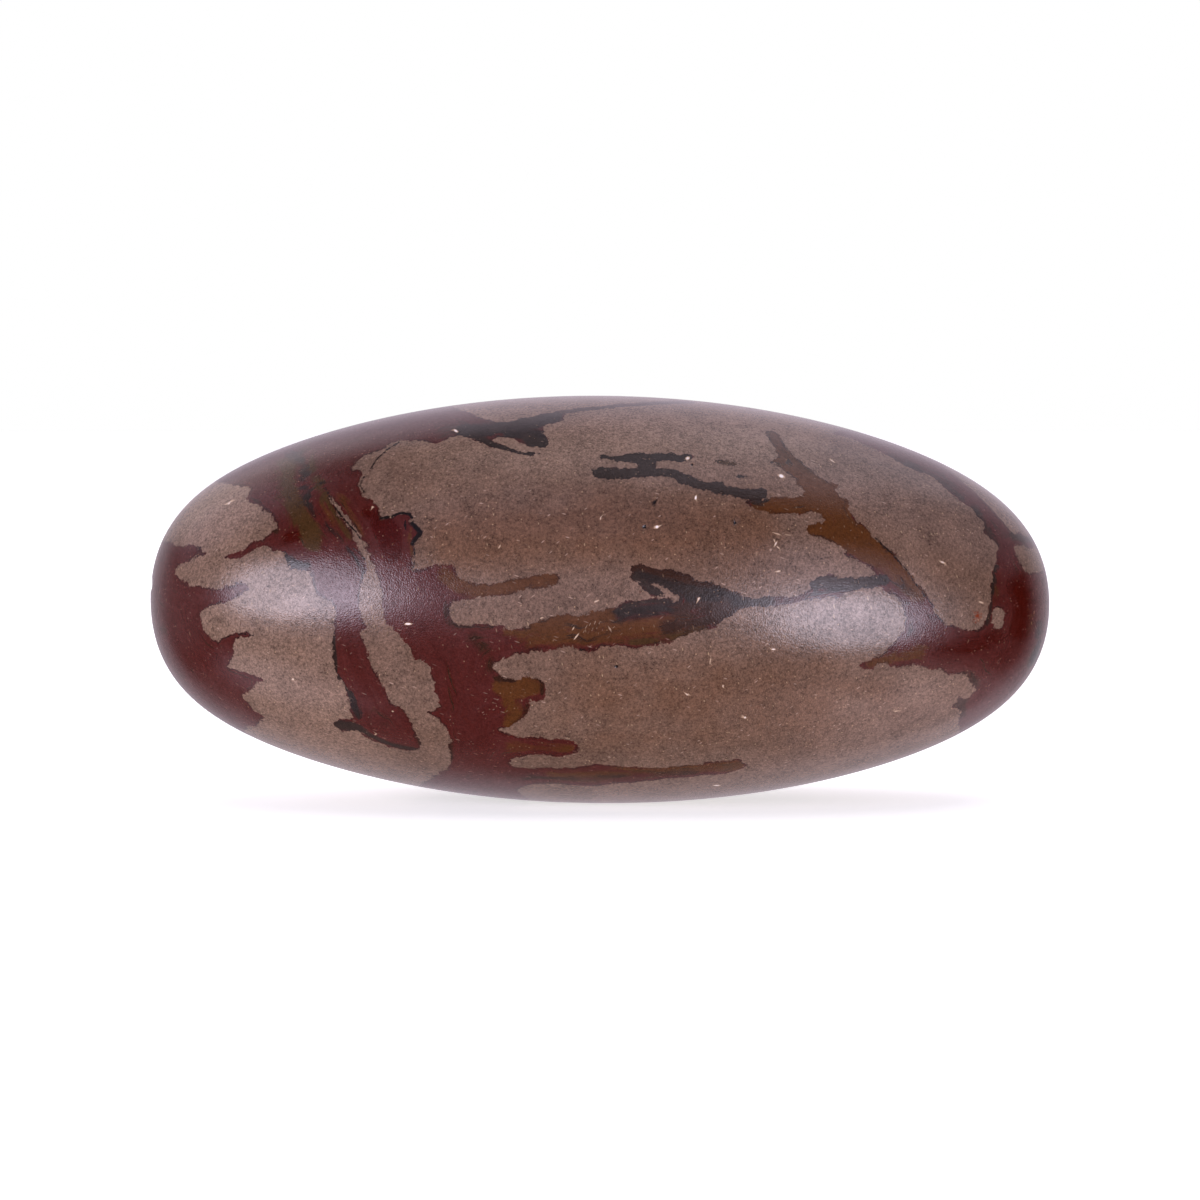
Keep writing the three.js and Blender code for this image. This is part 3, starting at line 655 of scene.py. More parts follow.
FLECKS: tuple[Fleck, ...] = (
    Fleck(-15.5, 15.95, 0.6, 0.18, 0),
    Fleck(-11.9, 31.45, 0.45, 0.18, -30),
    Fleck(4.6, 23.8, 0.32, 0.24, 20, 1.1),
    Fleck(0.05, 24.5, 0.36, 0.1, 80, 0.7),
    Fleck(7.75, 26.1, 0.36, 0.18, 80, 1.1),
    Fleck(7.15, 29.25, 0.4, 0.26, 20, 0.8),
    Fleck(14.8, 27.8, 0.45, 0.28, -20, 1.2),
    Fleck(19.1, 29.0, 0.6, 0.12, -35, 0.6),
    Fleck(14.2, 22.4, 0.5, 0.14, 60, 0.7),
    Fleck(14.4, 22.1, 0.4, 0.1, -40, 0.6),
    Fleck(14.1, 22.65, 0.4, 0.1, -70, 0.5),
    Fleck(14.3, 23.2, 0.9, 0.08, -18, 0.5),
    Fleck(15.2, 23.1, 0.7, 0.08, -8, 0.4),
    Fleck(14.4, 20.2, 0.4, 0.16, 10, 0.6),
    Fleck(14.0, 13.9, 0.4, 0.14, 0, 0.8),
    Fleck(-1.9, 15.0, 0.75, 0.13, 52, 0.55),
    Fleck(-2.15, 15.65, 0.4, 0.1, 60, 0.5),
    Fleck(-1.3, 15.4, 0.45, 0.07, 60, 0.25),
    Fleck(-1.1, 15.8, 0.5, 0.07, 62, 0.3),
    Fleck(-0.95, 15.3, 0.4, 0.07, 65, 0.2),
    Fleck(-0.8, 16.0, 0.5, 0.07, 64, 0.3),
    Fleck(-0.6, 15.6, 0.5, 0.07, 68, 0.25),
    Fleck(-0.4, 16.15, 0.45, 0.07, 70, 0.35),
    Fleck(-0.25, 15.7, 0.4, 0.07, 72, 0.25),
    Fleck(-0.05, 16.1, 0.4, 0.07, 72, 0.3),
    Fleck(-0.15, 15.2, 0.4, 0.07, 80, 0.2),
    Fleck(0.2, 15.55, 0.35, 0.07, 78, 0.2),
    Fleck(0.8, 15.6, 0.25, 0.1, 0, 0.35),
    Fleck(1.1, 15.75, 0.3, 0.08, 50, 0.3),
    Fleck(-0.3, 17.85, 0.5, 0.1, 25, 0.7),
    Fleck(-4.7, 16.5, 0.35, 0.12, 20, 0.5),
    Fleck(4.6, 20.95, 0.2, 0.14, 0, 0.8),
    Fleck(7.95, 18.05, 0.3, 0.14, 70, 0.8),
    Fleck(-8.1, 22.2, 0.4, 0.12, 60, 0.5),
    Fleck(8.9, 13.0, 0.7, 0.12, 80, 0.4),
    Fleck(9.95, 10.9, 0.3, 0.12, 85, 0.6),
    Fleck(7.0, 10.2, 0.25, 0.16, 0, 0.7),
    Fleck(11.8, 8.2, 0.24, 0.16, 0, 0.8),
    Fleck(9.7, 2.0, 0.7, 0.14, 0, 0.8),
    Fleck(-30.7, 25.45, 0.34, 0.18, 70, 0.7),
    Fleck(-18.5, 25.3, 0.25, 0.14, 0, 0.5),
    Fleck(-25.1, 11.2, 0.22, 0.16, 0, 0.7),
    Fleck(-18.4, 6.6, 0.3, 0.1, 40, 0.5),
    Fleck(-16.9, 8.65, 0.2, 0.12, 0, 0.5),
    Fleck(28.0, 20.75, 0.5, 0.16, -20, 0.7),
    Fleck(31.3, 17.4, 0.2, 0.14, 0, 0.6),
    Fleck(24.3, 8.5, 0.2, 0.16, 0, 0.5),
    Fleck(3.6, 23.8, 0.26, 0.24, 0, -1.0),
    Fleck(10.9, 24.1, 0.26, 0.24, 0, -1.0),
    Fleck(1.35, 12.55, 0.3, 0.26, 0, -0.7),
    Fleck(7.5, 28.75, 0.24, 0.2, 0, -0.7),
    Fleck(4.45, 25.8, 0.22, 0.2, 0, -0.6),
    Fleck(-37.95, 18.3, 0.9, 0.6, 70, -1.0),
)


class ElevationDrawing:
    """Reads the drawings at points of the stone's skin."""

    REACH = 6.0  # mm: distances beyond this are all alike
    MAX_STRETCH = 4.0  # where the skin turns away from the elevation, a drawn mm covers more skin, up to this
    WRAP = 2.0  # mm that a streak runs on round the rim, fading
    FINE = 0.4  # mm: a streak no wider than this needs a fine mesh
    MARK = 1.6  # a fleck's strength in its middle, before it is cut off at 1
    MARK_FALL = 1.3  # what it loses from there to its rim
    TINY = 1e-6  # mm

    def __init__(self, skin: np.ndarray, normals: np.ndarray) -> None:
        """Keeps the points to read at.

        Args:
            skin: Points on the skin, in mm, one a row.
            normals: Unit normals there.
        """
        self.skin = skin
        self.normals = normals

    def _on_side(self, side: Side, wrap: float = 0.0) -> np.ndarray:
        """Indices of the points on one half of the stone, and up to wrap mm past its rim."""
        return np.nonzero(self.skin[:, 1] * side.value >= -wrap)[0]

    def _off_stretch(self, points: np.ndarray, start: Corner, end: Corner) -> tuple[np.ndarray, np.ndarray]:
        """Finds how far points lie from a straight stretch on the elevation, along x and along z.

        Args:
            points: Indices of the points.
            start: The stretch's first end.
            end: Its last.

        Returns:
            Two distances in mm for each point, from the nearest place on the stretch.
        """
        x, z = self.skin[points, 0], self.skin[points, 2]
        (ax, az), (bx, bz) = start, end
        dx, dz = bx - ax, bz - az
        share = np.clip(((x - ax) * dx + (z - az) * dz) / (dx * dx + dz * dz), 0, 1)
        return x - ax - share * dx, z - az - share * dz

    def _signed_distance(self, outline: Outline, points: np.ndarray) -> np.ndarray:
        """Distance along the skin from each point to an outline, above 0 inside it.

        Args:
            outline: The outline.
            points: Indices of the points.

        Returns:
            One distance for each point, in mm.
        """
        x, z = self.skin[points, 0], self.skin[points, 2]
        best = np.full(len(points), np.inf)
        way_x, way_z = np.zeros(len(points)), np.zeros(len(points))
        inside = np.zeros(len(points), bool)
        corners = outline.points
        for (ax, az), (bx, bz) in zip(corners, corners[1:] + corners[:1]):
            off_x, off_z = self._off_stretch(points, (ax, az), (bx, bz))
            squared = off_x**2 + off_z**2
            nearer = squared < best
            best = np.where(nearer, squared, best)
            way_x, way_z = np.where(nearer, off_x, way_x), np.where(nearer, off_z, way_z)
            if az != bz:
                inside ^= ((az <= z) != (bz <= z)) & (x < ax + (z - az) * (bx - ax) / (bz - az))
        length = np.maximum(np.sqrt(best), self.TINY)
        turned = (way_x * self.normals[points, 0] + way_z * self.normals[points, 2]) / length
        stretch = 1 / np.sqrt(np.maximum(1 - turned**2, self.MAX_STRETCH**-2))
        return np.clip(length * stretch, 0, self.REACH) * np.where(inside, 1, -1)

    def bands(self) -> np.ndarray:
        """Finds how far each point is from the bands.

        Returns:
            The distance to the nearest band's edge, in mm, above 0 inside a band.
        """
        distance = np.full(len(self.skin), -self.REACH)
        for side in Side:
            points = self._on_side(side)
            here = distance[points]
            drawn = [outline for outline in BANDS if outline.side is side]
            for outline in (o for o in drawn if not o.island):
                here = np.maximum(here, self._signed_distance(outline, points))
            for outline in (o for o in drawn if o.island):
                here = np.minimum(here, -self._signed_distance(outline, points))
            distance[points] = here
        return distance

    def _off_line(self, line: Points, points: np.ndarray) -> np.ndarray:
        """Distance on the elevation from each point to a line of corners, in mm.

        Args:
            line: The corners.
            points: Indices of the points.

        Returns:
            One distance for each point.
        """
        return np.min([np.hypot(*self._off_stretch(points, *ends)) for ends in zip(line, line[1:])], axis=0)

    def stain(self, tint: Tint) -> np.ndarray:
        """Finds how strongly each point is stained by a colour.

        Args:
            tint: The colour.

        Returns:
            Shares, up to 1 in a streak of it and 0 well outside.
        """
        strength = np.zeros(len(self.skin))
        for streak in STREAKS[tint]:
            points = self._on_side(streak.side, self.WRAP)
            depth = streak.width / 2 - self._off_line(streak.points, points)
            round_rim = np.clip(1 + self.skin[points, 1] * streak.side.value / self.WRAP, 0, 1)
            share = np.clip(depth / streak.soft + 0.5, 0, 1) * round_rim * streak.strength
            strength[points] = np.maximum(strength[points], share)
        return strength

    def flecks(self) -> np.ndarray:
        """Finds what the chips, scratches and pits do to each point.

        Returns:
            Brightness, above 0 where they are light and below 0 where they are dark.
        """
        light = np.zeros(len(self.skin))
        points = self._on_side(Side.FRONT)
        for fleck in FLECKS:
            turn = math.radians(fleck.slant)
            off_x, off_z = self.skin[points, 0] - fleck.x, self.skin[points, 2] - fleck.z
            along = off_x * math.cos(turn) + off_z * math.sin(turn)
            across = off_z * math.cos(turn) - off_x * math.sin(turn)
            ring = np.hypot(2 * along / fleck.length, 2 * across / fleck.width)
            mark = np.clip(self.MARK - self.MARK_FALL * ring, 0, 1) * fleck.light
            light[points] = np.where(np.abs(mark) > np.abs(light[points]), mark, light[points])
        return light

    def near_fine_mark(self) -> np.ndarray:
        """Finds how far each point is from the marks that need a fine mesh.

        Returns:
            The distance to the rim of the nearest fleck or fine streak, in mm.
        """
        distance = np.full(len(self.skin), self.REACH)
        points = self._on_side(Side.FRONT)
        for fleck in FLECKS:
            away = np.hypot(self.skin[points, 0] - fleck.x, self.skin[points, 2] - fleck.z)
            distance[points] = np.minimum(distance[points], away - fleck.length / 2)
        for streak in (s for drawn in STREAKS.values() for s in drawn if s.width <= self.FINE):
            points = self._on_side(streak.side)
            away = self._off_line(streak.points, points) - streak.width / 2
            distance[points] = np.minimum(distance[points], away)
        return distance


# --- The stone's form ---------------------------------------------------------------------------------------


@dataclass(frozen=True)
class EggForm:
    """The stone's skin as a formula of the direction from its middle, in mm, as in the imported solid."""

    length: float = 76.0
    height: float = 34.5
    depth: float = 35.4
    rest_spot_width: float = 5.0
    end_bluntness: float = 2.17  # 2 is an ellipse's, and more is blunter
    left_fullness: float = 0.16  # what the left shoulder gains, as a share of the radius at the tip
    right_fullness: float = 0.105
    fullness_power: int = 6  # how late towards the tip it sets in
    tilt: float = 0.23
    bow: float = 0.18
    wave_height: float = 0.08
    waves: tuple[tuple[float, float, float, float], ...] = (
        (4.1, 1.3, 2.2, 0.5),
        (-2.6, 3.4, 1.7, 2.1),
        (5.2, -2.1, 3.8, 4.0),
    )
    tip_limit: float = 1e-6

    def skin(self, ways: np.ndarray) -> np.ndarray:
        """Moves points of the unit sphere to the skin, before it is set on the table.

        Args:
            ways: Unit vectors, one a row.

        Returns:
            Points in mm, one a row.
        """
        t = ways[:, 0]
        fullness = 1 + np.where(t < 0, self.left_fullness, self.right_fullness) * t**self.fullness_power
        wide = np.maximum(1 - t * t, self.tip_limit) ** (1 / self.end_bluntness - 0.5) * fullness
        wave = sum(self.wave_height * np.sin(ways @ np.array(w[:3]) + w[3]) for w in self.waves)
        return np.column_stack(
            (
                self.length / 2 * t,
                (self.depth / 2 * wide + wave) * ways[:, 1],
                self.height / 2 * wide * ways[:, 2] - self.tilt * t - self.bow * t * t,
            )
        )

    def worn_off(self) -> float:
        """How much of the height the resting spot has lost, in mm."""
        return self.height / 2 * (1 - math.sqrt(1 - (self.rest_spot_width / self.depth) ** 2))


LEVEL = 1e-4  # a difference in x up to this is none, on a ball or cube of radius 1


@dataclass
class Stone:
    """The stone: its fine mesh, set on the table, and what each of its points knows of the drawings."""

    form: EggForm = field(default_factory=EggForm)
    lengthways: int = 116  # quads along each side face of the starting block
    roundways: int = 56  # quads across it
    refine_within: tuple[float, ...] = (0.7, 0.32, 0.0)  # mm from a band's edge, for each halving
    pit_depth: float = 0.09  # mm
    survey: tuple[int, int] = (361, 721)  # how finely the egg's extent is read, along it and round it
    step: float = 1e-3  # how far to either side the skin's slope is read, on the unit sphere
    near_tip: float = 0.9  # share of the half length past which the slope is read along y first

    def build(self, material: bpy.types.Material) -> bpy.types.Object:
        """Makes the mesh, paints the drawings into it and dresses it.

        Args:
            material: The jasper.

        Returns:
            The finished piece.
        """
        ball = self._ball()
        for reach in self.refine_within:
            self._refine(ball, reach)
        mesh = bpy.data.meshes.new("polished_stone")
        ball.to_mesh(mesh)
        ball.free()
        skin, normals = self._placed(self._read(mesh))
        drawing = ElevationDrawing(skin, normals)
        flecks = drawing.flecks()
        self._store(mesh, "band", drawing.bands())
        self._store(mesh, "fleck", flecks)
        for tint in Tint:
            self._store(mesh, tint.name.lower(), drawing.stain(tint))
        sunk = skin - normals * (np.clip(-flecks, 0, 1) * self.pit_depth)[:, None]
        mesh.vertices.foreach_set("co", (sunk * MM).ravel())
        mesh.polygons.foreach_set("use_smooth", [True] * len(mesh.polygons))
        mesh.update()
        mesh.materials.append(material)
        piece = bpy.data.objects.new("polished_stone", mesh)
        bpy.context.scene.collection.objects.link(piece)
        return piece

    @staticmethod
    def _lengthwise(edge: bmesh.types.BMEdge) -> bool:
        """Whether an edge of the starting cube runs along x."""
        return abs(edge.verts[0].co.x - edge.verts[1].co.x) > LEVEL

    def _ball(self) -> bmesh.types.BMesh:
        """Makes a ball from a cube whose side faces have more rows along x than round it.

        Returns:
            The ball, of radius 1.
        """
        ball = bmesh.new()
        bmesh.ops.create_cube(ball, size=2)
        for along_x, rows in ((True, self.lengthways), (False, self.roundways)):
            edges = [edge for edge in ball.edges if self._lengthwise(edge) is along_x]
            bmesh.ops.subdivide_edges(ball, edges=edges, cuts=rows - 1, use_grid_fill=True)
        for vert in ball.verts:
            vert.co = Vector(math.tan(share * math.pi / 4) for share in vert.co).normalized()
        bmesh.ops.recalc_face_normals(ball, faces=ball.faces)
        bmesh.ops.triangulate(ball, faces=ball.faces)
        return ball

    def _refine(self, ball: bmesh.types.BMesh, reach: float) -> None:
        """Halves the edges that lie near a band's edge, a fleck or a fine streak.

        Args:
            ball: The mesh, on the unit sphere.
            reach: How near counts, in mm.
        """
        ball.verts.index_update()
        skin, normals = self._placed(np.array([v.co for v in ball.verts]))
        drawing = ElevationDrawing(skin, normals)
        near = (np.abs(drawing.bands()) < reach) | (drawing.near_fine_mark() < reach / 2)
        edges = [e for e in ball.edges if near[e.verts[0].index] and near[e.verts[1].index]]
        bmesh.ops.subdivide_edges(ball, edges=edges, cuts=1)
        for vert in ball.verts:
            vert.co.normalize()
        bmesh.ops.triangulate(ball, faces=[f for f in ball.faces if len(f.verts) > 3])

    def _placed(self, ways: np.ndarray) -> tuple[np.ndarray, np.ndarray]:
        """The skin and its normals in the part's frame, in mm, worn flat where it rests.

        Args:
            ways: Directions from the egg's middle, one a row.

        Returns:
            Points and unit normals, one a row.
        """
        ways = self._unit(ways)
        low, high = self._extremes
        middle = (low + high) / 2
        skin = self.form.skin(ways) - (middle[0], middle[1], low[2] + self.form.worn_off())
        axis = np.where(np.abs(ways[:, :1]) < self.near_tip, (1.0, 0.0, 0.0), (0.0, 1.0, 0.0))
        first = self._unit(np.cross(ways, axis))
        runs = []
        for side in (first, np.cross(ways, first)):
            ahead, behind = self._unit(ways + self.step * side), self._unit(ways - self.step * side)
            runs.append(self.form.skin(ahead) - self.form.skin(behind))
        normals = self._unit(np.cross(*runs))
        normals *= np.sign((normals * ways).sum(axis=1, keepdims=True))
        skin[:, 2] = np.maximum(skin[:, 2], 0)
        return skin, normals

    @cached_property
    def _extremes(self) -> tuple[np.ndarray, np.ndarray]:
        """Finds the extent of the unworn egg.

        Returns:
            The lowest and the highest corner of its box, in mm.
        """
        rises = np.linspace(0, math.pi, self.survey[0])[:, None]
        turns = np.linspace(0, 2 * math.pi, self.survey[1])
        ways = np.stack(
            (np.cos(rises) + 0 * turns, np.sin(rises) * np.cos(turns), np.sin(rises) * np.sin(turns)), axis=-1
        ).reshape(-1, 3)
        skin = self.form.skin(ways)
        return skin.min(axis=0), skin.max(axis=0)

    @staticmethod
    def _unit(vectors: np.ndarray) -> np.ndarray:
        """The vectors at length 1."""
        return vectors / np.linalg.norm(vectors, axis=1, keepdims=True)

    @staticmethod
    def _read(mesh: bpy.types.Mesh) -> np.ndarray:
        """Reads a mesh's points.

        Args:
            mesh: The mesh.

        Returns:
            Its points, one a row.
        """
        flat = np.empty(len(mesh.vertices) * 3, np.float32)
        mesh.vertices.foreach_get("co", flat)
        return flat.reshape(-1, 3).astype(float)

    @staticmethod
    def _store(mesh: bpy.types.Mesh, name: str, values: np.ndarray) -> None:
        """Keeps one number for each of a mesh's points."""
        layer = mesh.attributes.new(name, "FLOAT", "POINT")
        layer.data.foreach_set("value", values.astype(np.float32))


# --- The finishes -------------------------------------------------------------------------------------------


class NodeBench:
    """A material's or world's node tree and the one function that adds to it."""

    def __init__(self, tree: bpy.types.NodeTree) -> None:
        """Clears the tree and keeps it."""
        tree.nodes.clear()
        self.tree = tree

    def add(self, kind: str, *inputs: object, out: int | str = 0, **settings: object) -> Socket | None:
        """Adds a node.

        Args:
            kind: The node's type without its "ShaderNode", such as "Math".
            *inputs: A value or another node's output for each of the first inputs. None leaves one as it is.
            out: Which of its outputs to return.
            **settings: Its properties, in small letters, and more inputs by name, such as Base_Color.

        Returns:
            The wanted output, or None for a node that has none.
        """
        node = self.tree.nodes.new("ShaderNode" + kind)
        for name, value in settings.items():
            if name[0].islower():
                setattr(node, name, value)
        named = {name.replace("_", " "): value for name, value in settings.items() if name[0].isupper()}
        for key, value in [*enumerate(inputs), *named.items()]:
            if isinstance(value, Socket):
                self.tree.links.new(value, node.inputs[key])
            elif value is not None:
                node.inputs[key].default_value = value
        return node.outputs[out] if node.outputs else None


@dataclass(frozen=True)
class Scatter:
    """Small marks strewn all over the skin: short scratches, crystals or pits."""

    colour: str
    length: float  # mm, of one mark
    width: float
    slant: float  # degrees
    spread: float  # the pattern's cells, as a multiple of a mark's size
    share: float  # of the cells that hold a mark
    opacity: float


@dataclass(frozen=True)
class PolishedJasper:
    """Banded jasper, a fine-grained quartz stone, tumbled and hand polished with fine grit.

    Quartz gives it an IOR of 1.54. The grit leaves a satin gloss that blurs reflections, and fine scratches.
    Sizes are in mm. The real grains and frost are finer than 0.05 mm, and the real scratches are a few
    hundredths of a mm wide. All of them are drawn as coarse as they need to be to show.
    """

    ground: str = "5c463a"
    ground_soft: str = "634d41"
    # paler ground, partly painted light and painted reflected haze on the top and the left end
    pale: str = "725b4d"
    warm: str = "593f30"
    red: str = "3f1713"
    wine: str = "431d1a"
    rust: str = "360904"
    ochre: str = "462711"
    olive: str = "392512"
    mauve: str = "2b170e"
    slate: str = "1f1613"
    charcoal: str = "251a15"
    ember: str = "68280e"
    ink: str = "150d0a"
    rim: str = "1f0f0c"
    chip: str = "dcd0cc"
    hairline: str = "a88c74"
    ior: float = 1.54
    roughness: float = 0.17
    sand_size: float = 0.24
    patch_size: float = 2.4  # of the lighter and darker patches of sand
    sand_weight: float = 3.0  # of the sand against the patches, whose weight is 1
    grain_span: tuple[float, float] = (0.9, 3.1)  # the grain's darkest and lightest
    ground_contrast: tuple[float, float] = (0.0, 2.0)  # what they multiply the ground's colour by
    band_contrast: tuple[float, float] = (0.44, 1.56)
    shine: tuple[float, float] = (0.2, 0.8)  # how strongly they mirror, where 0.5 is plain quartz
    lump_size: float = 0.9  # of the waver in a band's edge
    tooth_size: float = 0.32  # of the teeth on it
    edge_swing: float = 0.7  # how far each of the two pushes the edge
    edge_blend: tuple[float, float] = (-0.05, 0.06)  # where the ground ends and the band is full
    broad_size: float = 7.0  # of the softer areas of the ground
    broad_span: tuple[float, float] = (0.4, 0.62)  # the noise's values where they start and are full
    cloud_size: float = 3.0  # of the clouds that break up its pale and warm areas
    cloudiness: float = 1.2
    lamina_size: float = 3.2
    lamina_span: tuple[float, float] = (0.4, 0.66)  # the noise's values where the wine red starts and is full
    laminae_in_depth: float = 8.0  # how fast the laminae change from a band's edge inwards
    thread_size: float = 0.25  # of the threads that fray an ink line
    tint_blend: tuple[float, float] = (0.2, 0.8)  # a streak's strength where its tint starts and is full
    band_fray: float = 2.0  # how much the laminae fray the tints of a band
    thread_fray: float = 1.4
    rim_reach: tuple[float, float] = (0.3, 0.04)  # how far inside a band its dark rim ends and is full
    rim_size: float = 1.3  # of the gaps in it
    rim_span: tuple[float, float] = (0.35, 0.65)  # the noise's values where a gap ends and the rim is full
    rim_strength: float = 0.75
    wave_size: float = 1.2  # of what the grinding leaves
    wave_depth: float = 0.06
    wave_strength: float = 0.2
    frost_size: float = 0.12
    frost_depth: float = 0.01
    hairline_at: tuple[float, float] = (0.1, 0.4)  # a fleck's light where this colour starts and is full
    chip_at: tuple[float, float] = (0.45, 0.9)
    pit_at: tuple[float, float] = (-0.1, -0.5)
    faint_in_bands: float = 0.4  # how strong the strewn marks are in a band
    strewn: tuple[Scatter, ...] = (
        Scatter("a08474", 0.55, 0.12, 20, 1.7, 0.07, 0.8),
        Scatter("a08474", 0.5, 0.12, -40, 1.7, 0.07, 0.8),
        Scatter("a08468", 0.45, 0.12, 78, 1.7, 0.06, 0.8),
        Scatter("a8876a", 0.16, 0.16, 0, 1.8, 0.13, 0.7),
        Scatter("2a1812", 0.18, 0.18, 30, 1.8, 0.03, 0.7),
    )

    def make(self) -> bpy.types.Material:
        """Builds the material.

        Returns:
            The jasper, for a piece that carries the drawings' attributes.
        """
        material = bpy.data.materials.new("polished jasper")
        material.use_nodes = True
        add = NodeBench(material.node_tree).add
        place = add("VectorMath", add("TexCoord", out="Object"), operation="SCALE", Scale=1 / MM)
        edge = self._edge(add, place)
        sand = add("TexNoise", place, Scale=1 / self.sand_size, Detail=2.0, Roughness=1.0)
        patches = add("TexNoise", place, Scale=1 / self.patch_size, Detail=2.0, Roughness=1.0)
        grain = add("Math", sand, self.sand_weight, patches, operation="MULTIPLY_ADD")
        inside = add("MapRange", edge, *self.edge_blend, interpolation_type="SMOOTHSTEP")
        skin = add("MixRGB", inside, self._ground(add, place, grain), self._bands(add, place, edge, grain))
        threads = add("TexNoise", place, Scale=1 / self.thread_size, Detail=2.0)
        for tint in (Tint.EMBER, Tint.INK):
            skin = self._stained(add, skin, tint, threads, self.thread_fray)
        skin = self._flecked(add, self._strewn(add, place, skin, inside))
        shader = add(
            "BsdfPrincipled", Base_Color=skin, Roughness=self.roughness, IOR=self.ior,
            Specular_IOR_Level=add("MapRange", grain, *self.grain_span, *self.shine),
            Normal=self._relief(add, place),
        )
        add("OutputMaterial", shader)
        return material

    def _edge(self, add: Adder, place: Socket) -> Socket:
        """Pushes the bands' edges to and fro by lumps and teeth.

        Args:
            add: The bench's function.
            place: Object coordinates in mm.

        Returns:
            The distance to the pushed edges in mm, above 0 inside a band.
        """
        band = add("Attribute", attribute_name="band", out="Fac")
        lumps = add("TexNoise", place, Scale=1 / self.lump_size, Detail=2.0)
        teeth = add("TexNoise", place, Scale=1 / self.tooth_size, Detail=3.0, Roughness=0.7)
        lumpy = add("Math", lumps, self.edge_swing, band, operation="MULTIPLY_ADD")
        toothed = add("Math", teeth, self.edge_swing, lumpy, operation="MULTIPLY_ADD")
        return add("Math", toothed, self.edge_swing, operation="SUBTRACT")

    def _stained(self, add: Adder, under: Socket, tint: Tint, ragged: Socket, fray: float) -> Socket:
        """Lays one tint over a colour where its streaks are drawn.

        Args:
            add: The bench's function.
            under: The colour so far.
            tint: The tint.
            ragged: Noise that frays the streaks' edges.
            fray: How much of it.

        Returns:
            The stained colour.
        """
        drawn = add("Attribute", attribute_name=tint.name.lower(), out="Fac")
        frayed = add("Math", ragged, fray, drawn, operation="MULTIPLY_ADD")
        starts, full = (fray / 2 + strength for strength in self.tint_blend)
        share = add("MapRange", frayed, starts, full, interpolation_type="SMOOTHSTEP")
        return add("MixRGB", share, under, linear(getattr(self, tint.name.lower())))

    def _ground(self, add: Adder, place: Socket, grain: Socket) -> Socket:
        """The taupe ground: broad paler and warmer areas under a sandy grain. The paler streaks are partly
        painted light: a lighter top and left end.

        Args:
            add: The bench's function.
            place: Object coordinates in mm.
            grain: The grain.

        Returns:
            Its colour.
        """
        broad = add("TexNoise", place, Scale=1 / self.broad_size, Detail=3.0)
        share = add("MapRange", broad, *self.broad_span, interpolation_type="SMOOTHSTEP")
        colour = add("MixRGB", share, linear(self.ground), linear(self.ground_soft))
        clouds = add("TexNoise", place, Scale=1 / self.cloud_size, Detail=4.0, Roughness=0.6)
        # the pale tint is partly painted light and painted reflected haze on the top and the left end; the
        # warm tint is the ground's own colour
        for tint in (Tint.PALE, Tint.WARM):
            drawn = add("Attribute", attribute_name=tint.name.lower(), out="Fac")
            cloudy = add("Math", clouds, self.cloudiness, drawn, operation="MULTIPLY_ADD")
            share = add("MapRange", cloudy, self.cloudiness / 2, self.cloudiness / 2 + 1)
            colour = add("MixRGB", share, colour, linear(getattr(self, tint.name.lower())))
        contrast = add("MapRange", grain, *self.grain_span, *self.ground_contrast)
        return add("VectorMath", colour, operation="SCALE", Scale=contrast)

    def _bands(self, add: Adder, place: Socket, edge: Socket, grain: Socket) -> Socket:
        """The bands: red jasper with fine laminae along their edges, stained by the drawn streaks.

        Args:
            add: The bench's function.
            place: Object coordinates in mm.
            edge: Distance to the bands' edges in mm.
            grain: The grain.

        Returns:
            Their colour.
        """
        band = add("Attribute", attribute_name="band", out="Fac")
        depth = add("Math", band, self.laminae_in_depth, operation="MULTIPLY")
        laminae = add("TexNoise", place, depth, 1 / self.lamina_size, 3.0, 0.6, noise_dimensions="4D")
        share = add("MapRange", laminae, *self.lamina_span, interpolation_type="SMOOTHSTEP")
        colour = add("MixRGB", share, linear(self.red), linear(self.wine))
        for tint in (Tint.RUST, Tint.OCHRE, Tint.OLIVE, Tint.MAUVE, Tint.SLATE, Tint.CHARCOAL):
            colour = self._stained(add, colour, tint, laminae, self.band_fray)
        contrast = add("MapRange", grain, *self.grain_span, *self.band_contrast)
        colour = add("VectorMath", colour, operation="SCALE", Scale=contrast)
        inner = add("MapRange", edge, *self.rim_reach, interpolation_type="SMOOTHSTEP")
        broken = add("TexNoise", place, Scale=1 / self.rim_size, Detail=2.0)
        gaps = add("MapRange", broken, *self.rim_span, 0.0, self.rim_strength)
        return add("MixRGB", add("Math", inner, gaps, operation="MULTIPLY"), colour, linear(self.rim))

    def _strewn(self, add: Adder, place: Socket, under: Socket, inside: Socket) -> Socket:
        """Strews short hairline scratches, golden grains and pits over a colour.

        Args:
            add: The bench's function.
            place: Object coordinates in mm.
            under: The colour so far.
            inside: 1 in a band, where the marks are fainter.

        Returns:
            The colour with its marks.
        """
        strong = add("MapRange", inside, 0.0, 1.0, 1.0, self.faint_in_bands)
        for mark in self.strewn:
            cell = (mark.length * mark.spread, mark.width * mark.spread, mark.width * mark.spread)
            turn = (0, math.radians(mark.slant), 0)
            turned = add("Mapping", place, vector_type="TEXTURE", Rotation=turn, Scale=cell)
            away = add("TexVoronoi", turned, Scale=1.0, out="Distance")
            dice = add("SeparateColor", away.node.outputs["Color"])
            held = add("Math", dice, 1 - mark.share, operation="GREATER_THAN")
            near = add("MapRange", away, 0.5 / mark.spread, 0.25 / mark.spread, 0.0, mark.opacity)
            faint = add("Math", near, dice.node.outputs["Green"], operation="MULTIPLY")
            faint = add("Math", faint, strong, operation="MULTIPLY")
            under = add("MixRGB", add("Math", faint, held, operation="MULTIPLY"), under, linear(mark.colour))
        return under

